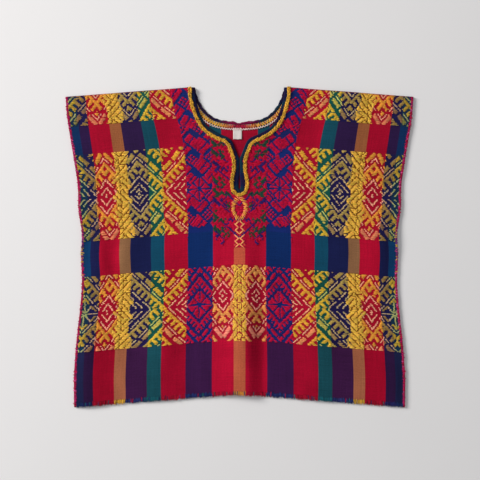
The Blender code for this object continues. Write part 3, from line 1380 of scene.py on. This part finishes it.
OUTER_COLUMNS = (
    Lozenge(265.5, 296.0, 298.0, 35.0, 38.0, outlined),
    Lozenge(227.7, 265.5, 247.0, 23.0, 31.0, outlined),
)
OCHRE_BRAID = Braid(206.4, 227.7, 217.0)
MIDDLE_BAND = (
    *OUTER_COLUMNS,
    Lozenge(141.9, 206.4, 186.0, 30.0, 33.0, outlined),
    Lozenge(98.4, 141.9, 98.4, 38.0, 38.0, outlined),
    OCHRE_BRAID,
)
LOWER_BAND = (
    Lozenge(265.5, 296.0, 291.0, 33.0, 36.0, burst),
    OUTER_COLUMNS[1],
    Lozenge(141.9, 206.4, 206.4, 40.0, 38.0, outlined),
    Lozenge(98.4, 141.9, 98.4, 34.0, 34.0, outlined),
    Lozenge(50.1, 98.4, 75.0, 27.0, 31.0, star, scale=0.72, border=2.6, weft=Weft.RED),
    Lozenge(10.5, 50.1, 31.0, 20.5, 26.0, outlined, shift=-14.0),
    OCHRE_BRAID,
    Braid(0.0, 10.5, 0.0, pitch=13.0, turn_every=25.0, flare=2.5),
)
YOKE = (YokeSide(50.1, 98.4), RedField(0.0, 50.1))


class BandCut(NamedTuple):
    """A stretch of brocade on the cloth: where it starts and ends, its middle row, and its columns."""

    top: float
    foot: float
    middle: float
    columns: Sequence[Column]


SHOULDER = BandCut(0.001, 0.056, -0.024, MIDDLE_BAND)
MIDDLE = BandCut(0.108, 0.268, 0.188, MIDDLE_BAND)
LOWER = BandCut(0.332, 0.470, 0.401, LOWER_BAND)
FRONT_BROCADE = {
    "shoulder_brocade": (SHOULDER,),
    "middle_brocade": (MIDDLE,),
    "yoke_brocade": (BandCut(0.001, 0.302, 0.188, YOKE),),
    "lower_brocade": (LOWER,),
}
BACK_BROCADE = {"back_brocade": (SHOULDER, MIDDLE, LOWER)}


@dataclass(frozen=True)
class YokeFoot:
    """Where the yoke's brocade stops: nearly flat in the middle, then pointed, then stepped. In millimetres."""

    centre: float = 299.0
    point: float = 291.0
    point_at: float = 33.0
    slope: float = 1.05  # of the point's sides
    stepped: float = 255.0
    lower_band: float = 331.0  # where the next band's brocade starts

    def plain(self, x: Array, y: Array) -> Array:
        """Whether the foot leaves the cloth plain.

        Args:
            x: Distance from the middle of the blouse.
            y: Distance below the shoulder line.

        Returns:
            True at each place between the foot and the next band.
        """
        first, second, third = (entry.outer * HALF for entry in STRIPES[:3])
        pointed = self.point - self.slope * np.abs(x - self.point_at) + self.teeth(x, 9, 11)
        foot = np.where(x < second, pointed, self.stepped + self.teeth(x, 8, 13))
        foot = np.where(x < first, self.centre + self.teeth(x, 4, 5), foot)
        return (x < third) & (y > foot) & (y < self.lower_band)

    @staticmethod
    def teeth(x: Array, height: float, pitch: float) -> Array:
        """A row of teeth, as drops below their tips."""
        return height * np.abs((x / pitch) % 1 - 0.5)


@dataclass
class Brocade:
    """Raised floats of pattern yarn, a short stitch for each run of a chart's row."""

    name: str
    bands: Sequence[BandCut]
    surface: Surface
    section: Section
    upward: float = 1.0
    row: float = 1.75  # pitch of the pattern wefts, in millimetres
    step: float = 1.0  # pitch of the chart across, in millimetres
    slip: float = 0.45  # how far a row may lie off its place, in millimetres
    longest: float = 9.0  # float, in millimetres
    dropped: float = 0.012  # share of the floats that are missing
    thick: float = 0.0017  # a float's height in metres
    thin: float = 0.0011  # the height of a float in the thin lines
    sunk: float = 0.0002  # how deep the floats lie in the cloth
    seed: int = 7

    def drawn(self, band: BandCut, x: Array, y: Array) -> Array:
        """The thread numbers of a band's columns, one over another.

        Args:
            band: The band.
            x: Distance from the middle of the blouse.
            y: Distance below the top of the band.

        Returns:
            The thread numbers.
        """
        chart = np.zeros(x.shape, dtype=int)
        for column in band.columns:
            drawn = column.draw(x, y, (band.middle - band.top) * 1000)
            chart = np.where(drawn == Thread.LEFT_ALONE, chart, drawn)
        return chart

    def chart(self, band: BandCut, x: Array, y: Array) -> Array:
        """The thread numbers of one half of a band, a little uneven as handwork is.

        Args:
            band: The band.
            x: Distance from the middle of the blouse.
            y: Distance below the shoulder line.

        Returns:
            The thread numbers.
        """
        chance = np.random.default_rng(self.seed + 1)
        slip = chance.normal(0, self.slip, (len(y), 1))
        uneven_x = x + 0.5 * np.sin(y / 9.3 + x / 19) + slip
        uneven_y = y - band.top * 1000 + 0.5 * np.sin(x / 11.7 + 1.3)
        chart = self.drawn(band, uneven_x, uneven_y)
        chart[YokeFoot().plain(x, y)] = Thread.GROUND
        return chart

    def runs(self, band: BandCut, chance: Chance) -> Array:
        """The floats of one half of a band, as rows of start and end across, drop and thread.

        Args:
            band: The band.
            chance: The source of their differences.

        Returns:
            A row for each float.
        """
        across = np.arange(0, HALF, self.step) + self.step / 2
        down = np.arange(band.top * 1000 + self.row / 2, band.foot * 1000, self.row)
        x, y = np.meshgrid(across, down)
        chart = self.chart(band, x, y)
        stripe = np.searchsorted([entry.outer * HALF for entry in STRIPES], x)
        own = np.isin(chart, list(OWN_YARNS))
        code = chart * 100 + stripe * own
        found = []
        for depth, line, threads in zip(down, code, chart):
            changes = np.flatnonzero(np.diff(line)) + 1
            for start, end in zip([0, *changes], [*changes, len(line)]):
                if threads[start]:
                    parts = math.ceil((end - start) * self.step / self.longest)
                    cuts = np.linspace(start, end, parts + 1) * self.step
                    cuts[1:-1] += chance.uniform(-2.2, 2.2, parts - 1)
                    found += [(a, b, depth, threads[start]) for a, b in zip(cuts, cuts[1:])]
        return np.array(found)

    def colours(self, threads: Array, place: Array, drop: Array, chance: Chance) -> Array:
        """Linear colours of floats, each a little off its yarn's own.

        Args:
            threads: Their thread numbers.
            place: Their distance from the middle of the blouse, in millimetres.
            drop: Their drop, in millimetres.
            chance: The source of their differences.

        Returns:
            A row of red, green and blue for each float.
        """
        stripe = np.searchsorted([entry.outer * HALF for entry in STRIPES], place)
        colour = np.zeros((len(threads), 3))
        for thread, shows in OWN_YARNS.items():
            table = np.array([linear(getattr(entry, shows)) for entry in STRIPES])
            colour = np.where((threads == thread)[:, None], table[stripe], colour)
        for thread, code in DYED_YARNS.items():
            colour = np.where((threads == thread)[:, None], linear(code), colour)
        mottle = np.sin(place / 4.3 + drop / 9.1) * np.sin(drop / 5.2 - place / 11.7)
        tint = 1 + 0.13 * mottle[:, None] + chance.normal(0, 0.09, (len(threads), 1))
        tint = tint + chance.normal(0, 0.04, (len(threads), 3))
        return colour * np.clip(tint, 0.6, 1.4)

    def build(self, material: bpy.types.Material, outline: Array) -> bpy.types.Object:
        """Makes the floats of both halves.

        Args:
            material: The yarn's finish.
            outline: The neck's outline, which stays clear.

        Returns:
            The floats in one piece.
        """
        chance = np.random.default_rng(self.seed)
        stitches = Stitches(self.name, self.surface, self.section, self.upward)
        for band in self.bands:
            for side in (-1, 1):
                self.lay(stitches, band, side, outline, chance)
        return stitches.build(material)

    def lay(self, stitches: Stitches, band: BandCut, side: int, outline: Array, chance: Chance) -> None:
        """Lays the floats of one half of a band, each a little off its place.

        Args:
            stitches: What they are added to.
            band: The band.
            side: -1 for the left half and 1 for the right one.
            outline: The neck's outline, which stays clear.
            chance: The source of their differences.
        """
        start, end, drop, threads = self.runs(band, chance).T
        jitter = chance.normal(0, 1, (4, len(start)))
        depth = (drop + 0.12 * jitter[1]) * MM
        share = np.stack([start, end]) / HALF
        left, right = LAY.pulled(share, depth) if self.upward > 0 else share
        shift = 0.35 * jitter[0] * MM
        x, y = LAY.plan(side * (left + right) / 2, depth)
        x = x + shift
        keep = ~inside(x, y, outline) & (chance.random(len(start)) > self.dropped)
        width = self.row * MM * (1.10 + 0.05 * jitter[2])
        length = (right - left) * LAY.half_width(depth) + (0.8 + 0.4 * np.abs(jitter[3])) * MM
        slope = -side * LAY.droop / LAY.half_width(depth)
        thick = np.where(threads == Thread.LINE, self.thin, self.thick) * (1 + 0.12 * jitter[2])
        colour = self.colours(threads, (start + end) / 2, drop, chance)
        turn = np.arctan(slope) + 0.02 * jitter[3]
        laid = (value[keep] for value in (x, y, turn, length, width, thick, colour))
        stitches.add(*laid, -self.sunk)


@dataclass
class Panels:
    """The two striped panels, with the neck cut out of them under the binding and cord."""

    cell: float = 0.003  # size of the panels' grid
    cut_inset: float = 0.0023  # from the cord's line to the front's cut
    foot_inset: float = 0.0015  # from the hem's end to the cloth's

    def build(self) -> tuple[bpy.types.Object, bpy.types.Object]:
        """Makes the front and the back.

        Returns:
            The front and the back.
        """
        front_cut = neck_hole(NeckLine(FRONT_CORD).offset(self.cut_inset))
        back_cut = neck_hole(NeckLine(BACK_SEAM).offset(0.0))
        front_finish = StripedCloth("front_stripes", STRIPES)
        back_finish = StripedCloth("back_stripes", BACK_STRIPES)
        front = self.panel("front_cloth", front_cut, LAY.front_top, LAY.cloth, front_finish, LAY.pulled)
        back = self.panel("back_cloth", back_cut, LAY.back_top, LAY.back_cloth, back_finish)
        sewn_on(front, ["front_panel"])
        sewn_on(back, ["back_panel"])
        return front, back

    def panel(
        self,
        name: str,
        cut: Array,
        top: Surface,
        thickness: float,
        finish: StripedCloth,
        lies: Callable[[Array, Array], Array] = lambda share, drop: share,
    ) -> bpy.types.Object:
        """One panel of cloth.

        Args:
            name: The piece's name.
            cut: The outline of the neck's cut.
            top: Height of the panel's upper face.
            thickness: The cloth's own thickness.
            finish: The cloth.
            lies: Where a warp lies, as a share, from its own share and the drop.

        Returns:
            The panel.
        """
        columns, rows = round(LAY.width / self.cell), round(LAY.length / self.cell)

        def place(u: Array, v: Array) -> Array:
            """Lays the grid out as the panel."""
            share, drop = 2 * u - 1, (1 - v) * (LAY.length - self.foot_inset)
            share = lies(share, drop)
            x, y = LAY.plan(share, drop)
            x = x - share * (LAY.edge * 0.5)
            return np.column_stack([x, y, top(x, y)])

        sheet = grid_sheet(name, columns, rows, place)
        cut_away(sheet, cut)
        sheet.data.materials.append(finish.material())
        thicken(sheet, thickness)
        return sheet


@dataclass
class Brocades:
    """All the brocade: raised on the front, and pressed flat on the outside of the back."""

    cord_cover: float = 0.0020  # how far the front's brocade runs under the cord

    def build(self, yarn: bpy.types.Material) -> tuple[list[bpy.types.Object], list[bpy.types.Object]]:
        """Makes the front's pieces and the back's.

        Args:
            yarn: The yarn's finish.

        Returns:
            The front's pieces and the back's.
        """
        front, back = [], []
        hole = neck_hole(NeckLine(FRONT_CORD).offset(self.cord_cover))
        for name, bands in FRONT_BROCADE.items():
            piece = Brocade(name, bands, LAY.front_top, Section.PLAIN).build(yarn, hole)
            front.append(sewn_on(piece))
        hole = neck_hole(NeckLine(BACK_SEAM).offset(0.0))
        for name, bands in BACK_BROCADE.items():
            piece = Brocade(name, bands, LAY.back_outside, Section.FLAT, upward=-0.25).build(yarn, hole)
            back.append(sewn_on(piece))
        return front, back


@dataclass
class NeckFinish:
    """The neck's bindings, its yellow cord, and the stitched band inside the back."""

    cord_to_cut: float = 0.0033
    under_cord: float = 0.0022  # how far the front binding runs back under the cord
    binding: float = 0.0057  # width of the folded strip
    binding_cloth: float = 0.0004
    seam: float = 0.0004  # how far the back binding laps its panel
    foot_narrowing: float = 0.0030
    foot_reach: float = 0.0220
    slit_closing: float = 0.0036  # extra width down the slit, whose two sides nearly meet
    slit_length: float = 0.082  # along the neck line, from the slit's foot
    slit_ease: float = 0.020  # length over which that width comes in
    slit_gap: float = 0.0003  # from the middle to each side of the slit
    slit_eye: float = 0.0011  # how much wider it opens just above its foot
    eye_at: float = 0.024
    eye_reach: float = 0.012
    notch_depth: float = 0.0032
    notch_reach: float = 0.0100
    front_crown: float = 0.0020
    back_crown: float = 0.0023
    chain: Size = Size(0.0043, 0.0021, 0.0024)
    chain_pitch: float = 0.0026
    chain_row: float = 0.0014  # from the neck line to each of the cord's two rows
    # painted shade: a dark brown row under the chain, standing for the shadow between its stitches
    shade_core: Size = Size(0.0034, 0.0052, 0.0017)
    band_stitch: Size = Size(0.0092, 0.0022, 0.0015)
    band_pitch: float = 0.0021
    band_at: float = 0.0046  # from the neck line to the band's middle
    zigzag: Size = Size(0.0042, 0.0016, 0.0011)
    zigzag_at: float = 0.0094
    dark: Sequence[str] = ("0c1028", "24102f", "101840", "0c3040", "241034", "0a1030")
    cord_seed: int = 3
    band_seed: int = 4

    def build(self, yarn: bpy.types.Material) -> tuple[list[bpy.types.Object], list[bpy.types.Object]]:
        """Makes the pieces on the front and those on the back."""
        return [self.front_binding(), self.back_binding(), self.cord(yarn)], [self.back_band(yarn)]

    def front_binding(self) -> bpy.types.Object:
        """The rolled strip round the front of the neck and the slit.

        Returns:
            The strip.
        """
        line = NeckLine(FRONT_CORD)
        steps = np.abs(np.arange(len(line.route())) - len(line.route()) // 2) * line.spacing
        width = self.binding - self.foot_narrowing * np.clip(1 - steps / self.foot_reach, 0, 1)
        width = width + self.slit_closing * soft_step((self.slit_length - steps) / self.slit_ease)
        near_line = line.offset(self.cord_to_cut - self.under_cord)
        far_line = line.offset(self.cord_to_cut + LAY.gap + width)
        half_gap = self.slit_gap + self.slit_eye * np.exp(-(((steps - self.eye_at) / self.eye_reach) ** 2))
        left = near_line[:, 0] < 0
        far_line[left, 0] = np.minimum(far_line[left, 0], -half_gap[left])
        far_line[~left, 0] = np.maximum(far_line[~left, 0], half_gap[~left])
        finish = DyedCloth("binding_cloth", self.dark)
        strip = self.strip("front_neck_binding", near_line, far_line, LAY.under_front, self.front_crown, finish)
        return sewn_on(strip, ["neck_binding_front"])

    def back_binding(self) -> bpy.types.Object:
        """The rolled strip round the back of the neck, with a nick at its middle.

        Returns:
            The strip.
        """
        line = NeckLine(BACK_SEAM)
        notch = np.clip(1 - np.abs(line.route()[:, 0]) / self.notch_reach, 0, 1)
        steps = np.arange(len(notch))
        wavy = 0.0005 * np.sin(steps * 0.83) + 0.0003 * np.sin(steps * 2.1)
        far_line = line.offset(self.binding - self.seam + wavy - self.notch_depth * notch)
        finish = DyedCloth("back_binding_cloth", self.dark, middle="7a1040")
        near_line = line.offset(-self.seam)
        strip = self.strip("back_neck_binding", near_line, far_line, LAY.back_under, self.back_crown, finish)
        return sewn_on(strip, ["neck_binding_back"])

    def strip(
        self, name: str, near_line: Array, far_line: Array, base: Surface, crown: float, finish: DyedCloth
    ) -> bpy.types.Object:
        """A rolled strip of binding between two neck lines.

        Args:
            name: The piece's name.
            near_line: The line where it is seamed to the panel.
            far_line: The line of its folded edge.
            base: Height of its underside.
            crown: How high it stands in its middle.
            finish: Its cloth.

        Returns:
            The strip.
        """
        count = len(near_line) - 1

        def place(u: Array, v: Array) -> Array:
            """Rolls the grid into the strip."""
            at = np.round(v * count).astype(int)
            xy = near_line[at] + u[:, None] * (far_line[at] - near_line[at])
            lumps = 1 + 0.14 * np.sin(at * 0.71) + 0.10 * np.sin(at * 1.9 + 1)
            height = crown * lumps * np.sqrt(np.clip(1 - (2 * u - 1) ** 4 * 0.97, 0, 1))
            return np.column_stack([xy, base(xy[:, 0], xy[:, 1]) + self.binding_cloth + height])

        sheet = grid_sheet(name, 8, count, place)
        sheet.data.materials.append(finish.material())
        thicken(sheet, self.binding_cloth)
        return sheet

    def cord(self, yarn: bpy.types.Material) -> bpy.types.Object:
        """The yellow chain: two rows of short slanted stitches that meet along the neck line, over a dark brown row
        that is painted shade between the stitches.

        Args:
            yarn: The yarn's finish.

        Returns:
            The cord.
        """
        chance = np.random.default_rng(self.cord_seed)
        line = NeckLine(FRONT_CORD, self.chain_pitch)
        route, inward, turn = line.worked()
        count = len(route)
        stitches = Stitches("yellow_cord", LAY.front_top, Section.FULL)
        for side in (-1, 1):
            centre = route + inward * (side * self.chain_row + chance.normal(0, 0.0004, (count, 1)))
            swing = turn + side * 0.95 + chance.normal(0, 0.22, count)
            colour = uneven(linear("e4b03e"), 0.20, count, chance)
            length = self.chain.length * (1 + np.abs(chance.normal(0, 0.20, count)))
            lift = 0.0006 + np.minimum(np.abs(chance.normal(0, 0.0006, count)), 0.0011)
            stitches.add(*centre.T, swing, length, *self.chain[1:], colour, lift)
        # A dark brown row along the neck line: painted shade that shows between the chain's stitches
        stitches.add(*route.T, turn, *self.shade_core, linear("6e4514"), 0.0002)
        return sewn_on(stitches.build(yarn), ["neck_cord"])

    def back_band(self, yarn: bpy.types.Material) -> bpy.types.Object:
        """Yellow stitches inside the back neck, reddish at the middle, with a white zigzag along their foot.

        Args:
            yarn: The yarn's finish.

        Returns:
            The stitches in one piece.
        """
        chance = np.random.default_rng(self.band_seed)
        line = NeckLine(BACK_SEAM, self.band_pitch)
        route, inward, turn = line.worked()
        count = len(route)
        odd = np.arange(count) % 2
        centre = route - inward * self.band_at
        middle = np.clip(1.3 - np.abs(route[:, 0]) / 0.030, 0, 1)[:, None]
        middle = np.maximum(middle, 0.7 * (chance.random((count, 1)) < 0.12))
        colour = linear("e6ae46") * (1 - middle) + linear("a81c40") * middle
        colour = uneven(colour, 0.18, count, chance)
        stitches = Stitches("back_neck_stitches", LAY.back_top, Section.FULL)
        slant = turn + math.pi / 2 + np.where(odd, 0.5, -0.3)
        stitches.add(*centre.T, slant, *self.band_stitch, colour, 0.0003)
        foot = route - inward * self.zigzag_at
        swing = turn + np.where(odd, 0.95, -0.95)
        white = uneven(linear("ecd6d2"), 0.08, count, chance)
        stitches.add(*foot.T, swing, *self.zigzag, white, 0.0008)
        return sewn_on(stitches.build(yarn), ["neck_band_back"])


class Pair(NamedTuple):
    """Two stitches that slant to a point: their fall, their distance from the middle, and 1 or -1 for the slant."""

    fall: float
    spread: float
    slant: int


@dataclass
class SlitLoop:
    """The almond of twisted stitches below the slit, and the small lozenges under it."""

    top: float = 0.2010
    foot: float = 0.2440
    reach: float = 0.0118
    twists: int = 16
    twist: Size = Size(0.0090, 0.0023, 0.0022)
    slanted: Size = Size(0.0116, 0.0029, 0.0018)
    slope: float = 0.74  # of the slanted stitches, in radians
    seed: int = 8
    pairs: Sequence[Pair] = (
        Pair(0.2480, 0.0036, 1),
        Pair(0.2535, 0.0052, -1),
        Pair(0.2600, 0.0052, 1),
        Pair(0.2655, 0.0036, -1),
        Pair(0.2740, 0.0050, -1),
        Pair(0.2785, 0.0034, 1),
        Pair(0.2850, 0.0052, -1),
        Pair(0.2900, 0.0036, 1),
    )

    def build(self, yarn: bpy.types.Material) -> bpy.types.Object:
        """Makes the stitches in one piece.

        Args:
            yarn: The yarn's finish.

        Returns:
            The piece.
        """
        chance = np.random.default_rng(self.seed)
        stitches = Stitches("slit_loop", LAY.front_top, Section.FULL)
        t = np.linspace(0.03, 0.97, self.twists)
        for side in (-1, 1):
            x = side * self.reach * np.sin(math.pi * t**0.92) ** 0.8
            y = LAY.neck_y - self.top - (self.foot - self.top) * t
            ahead = np.arctan2(np.gradient(y), np.gradient(x))
            turn = ahead + side * 1.10 + chance.normal(0, 0.18, len(t))
            colour = np.where((np.arange(len(t)) % 3 == 0)[:, None], linear("f08c62"), linear("f0ae48"))
            colour = uneven(colour, 0.14, len(t), chance)
            length = self.twist.length * (1 + chance.normal(0, 0.10, len(t)))
            stitches.add(x, y, turn, length, *self.twist[1:], colour, 0.0002)
        self.lozenges(stitches)
        return sewn_on(stitches.build(yarn))

    def lozenges(self, stitches: Stitches) -> None:
        """Pairs of slanted stitches that meet in points below the loop.

        Args:
            stitches: What they are added to.
        """
        for fall, spread, slant in self.pairs:
            for side in (-1, 1):
                x, y = np.array([side * spread]), np.array([LAY.neck_y - fall])
                turn = -side * slant * self.slope
                stitches.add(x, y, turn, *self.slanted, linear("f4a468"), 0.0)


@dataclass
class Label:
    """A plain white tag that hangs inside the back neck."""

    thickness: float = 0.0004
    stand: float = 0.0006  # of its face above its solid's foot
    curl: float = 0.0009
    tape: Sequence[str] = ("cfc6c4", "dbd5d2")

    def build(self) -> bpy.types.Object:
        """Makes the tag, whose free foot lifts a little.

        Returns:
            The tag.
        """
        low, high = (np.array(corner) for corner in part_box("label"))
        size = high - low

        def place(u: Array, v: Array) -> Array:
            """Lays the grid out as the tag."""
            x = low[0] + u * size[0]
            y = low[1] + v * size[1] + 0.0002 * np.sin(9 * u)
            lift = self.curl * (1 - v) ** 2 + 0.0003 * np.sin(7 * u + 2) * (1 - v)
            return np.column_stack([x, y, low[2] + self.stand + lift])

        tag = grid_sheet("neck_label", 12, 16, place)
        tag.data.materials.append(DyedCloth("label_tape", self.tape, depth=0.0001).material())
        thicken(tag, self.thickness)
        return sewn_on(tag, ["label"])


@dataclass
class Edgings:
    """The overcasting of the armholes, the sides and the hem."""

    nodes: dict[str, bpy.types.Object]
    side_stitch: Size = Size(0.0048, 0.0019, 0.0011)
    side_pitch: float = 0.0017
    side_inset: float = 0.0022
    shoulder_stitch: Size = Size(0.0022, 0.0011, 0.0006)
    hem_stitch: Size = Size(0.0078, 0.0016, 0.0011)
    tuft: Size = Size(0.0028, 0.0009, 0.0007)
    hem_inset: float = 0.0042
    front_stitches: int = 430  # along the front's hem
    back_stitches: int = 300
    hem_colours: Sequence[str] = (  # a yarn for each warp stripe
        "d08a3a",
        "a80a30",
        "22306a",
        "a4082c",
        "175a66",
        "283068",
        "d0a03c",
        "a2082a",
        "22205a",
        "1a2f60",
    )
    stray_share: float = 0.14
    stray_stripes: Sequence[int] = (1, 2, 4)  # whose yarns turn up elsewhere
    waist_at: float = 0.275  # where the side's yarn turns blue
    waist_reach: float = 0.030
    shoulder_pitch: float = 0.0075  # share between two stitches of a shoulder seam
    side_seed: int = 5
    shoulder_seed: int = 9

    def build(self, yarn: bpy.types.Material) -> list[bpy.types.Object]:
        """Makes the stitches, and dresses the strips under them.

        Args:
            yarn: The yarn's finish.

        Returns:
            The pieces of stitches.
        """
        strip = DyedCloth("edge_strip", ("7a0a2c", "960c34", "6c1040"), wander=40.0).material()
        for name, node in self.nodes.items():
            if name.startswith(("armhole_edging", "side_seam")):
                node.data.materials.clear()
                node.data.materials.append(strip)
        return [
            self.sides(yarn),
            self.shoulders(yarn),
            self.hem("hem_overcasting_front", "hem_edging_front", LAY.front_top, self.front_stitches, yarn),
            self.hem("hem_overcasting_back", "hem_edging_back", LAY.back_top, self.back_stitches, yarn),
        ]

    def sides(self, yarn: bpy.types.Material) -> bpy.types.Object:
        """Red and magenta stitches from the shoulders to the hem, bluish at the waist.

        Args:
            yarn: The yarn's finish.

        Returns:
            The stitches in one piece.
        """
        chance = np.random.default_rng(self.side_seed)
        stitches = Stitches("side_overcasting", LAY.front_top, Section.PLAIN)
        red, magenta, blue = linear("b40c3a"), linear("b01a62"), linear("30408c")
        for side in (-1, 1):
            drop = np.arange(0.0015, LAY.length - 0.002, self.side_pitch)
            count = len(drop)
            drop = drop + chance.normal(0, 0.0003, count)
            x, y = LAY.plan(np.full(count, float(side)), drop)
            x = x - side * (self.side_inset + chance.normal(0, 0.0005, count))
            waist = 0.7 * np.exp(-(((drop - self.waist_at) / self.waist_reach) ** 2))[:, None]
            blend = chance.random((count, 1))
            colour = (red * blend + magenta * (1 - blend)) * (1 - waist) + blue * waist
            colour = np.where(chance.random((count, 1)) < 0.14, linear("d0508c"), colour)
            colour = np.where(chance.random((count, 1)) < 0.5 * waist, linear("d0a83c"), colour)
            colour = uneven(colour, 0.20, count, chance)
            turn = chance.normal(0.15 * side, 0.34, count)
            length = self.side_stitch.length + chance.normal(0, 0.0009, count)
            stitches.add(x, y, turn, length, *self.side_stitch[1:], colour, 0.0)
        return sewn_on(stitches.build(yarn))

    def shoulders(self, yarn: bpy.types.Material) -> bpy.types.Object:
        """Fine stitches along the shoulder seams.

        Args:
            yarn: The yarn's finish.

        Returns:
            The stitches in one piece.
        """
        chance = np.random.default_rng(self.shoulder_seed)
        stitches = Stitches("shoulder_stitches", LAY.front_top, Section.PLAIN)
        for side in (-1, 1):
            share = side * np.arange(LAY.neck_share + 0.012, 0.99, self.shoulder_pitch)
            count = len(share)
            x, y = LAY.plan(share, np.full(count, 0.0008))
            colour = uneven(linear("8c1438"), 0.2, count, chance)
            slope = -side * LAY.droop / LAY.half_width(np.zeros(count))
            stitches.add(x, y, np.arctan(slope), *self.shoulder_stitch, colour, 0.0)
        return sewn_on(stitches.build(yarn))

    def hem(
        self, name: str, node: str, surface: Surface, count: int, yarn: bpy.types.Material
    ) -> bpy.types.Object:
        """Overcasting over the end of a panel, with loose tufts below it.

        Args:
            name: The piece's name.
            node: The frame's edging that it stands for.
            surface: The cloth it is worked on.
            count: How many stitches.
            yarn: Their yarn.

        Returns:
            The stitches in one piece.
        """
        chance = np.random.default_rng(count)
        stitches = Stitches(name, surface, Section.PLAIN)
        share = np.linspace(-0.985, 0.985, count) + chance.normal(0, 0.0006, count)
        stripe = np.searchsorted([entry.outer for entry in STRIPES], np.abs(share))
        stray = chance.random(count) < self.stray_share
        stripe = np.where(stray, chance.choice(self.stray_stripes, count), stripe)
        colour = np.array([linear(code) for code in self.hem_colours])[stripe]
        colour = colour * (1 + np.clip(chance.normal(0, 0.28, (count, 1)), -0.7, 0.9))
        x, y = LAY.plan(share, np.full(count, LAY.length - self.hem_inset))
        y = y + chance.normal(0, 0.0006, count)
        turn = math.pi / 2 + chance.normal(0, 0.16, count)
        length = self.hem_stitch.length + chance.normal(0, 0.0009, count)
        stitches.add(x, y, turn, length, *self.hem_stitch[1:], colour, 0.0)
        tufts = count // 2
        pick = chance.integers(0, count, tufts)
        x, y = LAY.plan(share[pick], np.full(tufts, LAY.length - 0.0002))
        turn = -math.pi / 2 + chance.normal(0, 0.5, tufts)
        length = self.tuft.length + np.abs(chance.normal(0, 0.0014, tufts))
        stitches.add(x, y, turn, length, *self.tuft[1:], colour[pick], -0.0006)
        return sewn_on(stitches.build(yarn), [node])


class Lamp(NamedTuple):
    """A square soft light: its name, where it hangs, the length of its side, its power in watts and its colour."""

    name: str
    place: tuple[float, float, float]
    size: float
    power: float
    tint: str


@dataclass
class Studio:
    """The floor, the lights and the camera."""

    floor_size: float = 6.0
    sky: float = 0.305  # brightness of the pale surroundings
    lamps: Sequence[Lamp] = (
        Lamp("window", (-4.00, 1.88, 2.22), 1.7, 296.0, "fffbf6"),
        Lamp("ceiling", (-0.3, 0.1, 2.4), 1.6, 7.0, "fbfcff"),
    )

    view_width: float = 0.885  # metres of floor across the view
    lens: float = 50.0
    sensor: float = 36.0
    aim: tuple[float, float] = (0.0009, 0.0138)  # the point of the floor under the camera

    def build(self) -> None:
        """Sets the scene."""
        self.camera()
        self.lights()
        self.floor()

    def floor(self) -> None:
        """A wide pale floor under the blouse."""
        deselect()
        bpy.ops.mesh.primitive_plane_add(size=self.floor_size, location=(0, 0, -0.0002))
        floor = bpy.context.object
        floor.name = "floor"
        floor.data.materials.append(PaleFloor().material())

    def hang(self, lamp: Lamp) -> None:
        """Hangs a lamp so that it faces the blouse.

        Args:
            lamp: What it is like and where it hangs.
        """
        light = bpy.data.lights.new(lamp.name, "AREA")
        light.energy = lamp.power
        light.size = lamp.size
        light.color = linear(lamp.tint)
        hung = bpy.data.objects.new(lamp.name, light)
        x, y, z = lamp.place
        hung.location = lamp.place
        hung.rotation_euler = (math.atan2(math.hypot(x, y), z), 0.0, math.atan2(x, -y))
        bpy.context.scene.collection.objects.link(hung)

    def lights(self) -> None:
        """Soft daylight from the upper left, with a pale sky all round."""
        world = bpy.data.worlds.new("sky")
        world.use_nodes = True
        background = world.node_tree.nodes["Background"]
        background.inputs["Color"].default_value = (1.0, 1.0, 1.0, 1.0)
        background.inputs["Strength"].default_value = self.sky
        bpy.context.scene.world = world
        for lamp in self.lamps:
            self.hang(lamp)

    def camera(self) -> None:
        """Looks straight down, with the shoulders at the top of the view."""
        data = bpy.data.cameras.new("camera")
        data.lens = self.lens
        data.sensor_width = self.sensor
        camera = bpy.data.objects.new("camera", data)
        camera.location = (*self.aim, self.view_width * self.lens / self.sensor)
        bpy.context.scene.collection.objects.link(camera)
        bpy.context.scene.camera = camera
        view = bpy.context.scene.view_settings
        view.view_transform = "Standard"
        view.look = "None"


def main() -> None:
    """Builds the blouse on its frame, lights it and looks at it."""
    logging.basicConfig(level=logging.INFO, format="%(message)s")
    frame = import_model()
    Studio().build()
    pattern_yarn = Yarn("pattern_yarn").material()
    edge_yarn = Yarn("edge_yarn").material()
    front, back = Panels().build()
    on_front, on_back = Brocades().build(pattern_yarn)
    neck_front, neck_back = NeckFinish().build(edge_yarn)
    on_front += [*neck_front, SlitLoop().build(pattern_yarn), *Edgings(frame["nodes"]).build(edge_yarn)]
    on_back += neck_back
    tag = Label().build()
    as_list(on_front)
    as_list(on_back)


if __name__ == "__main__":
    main()
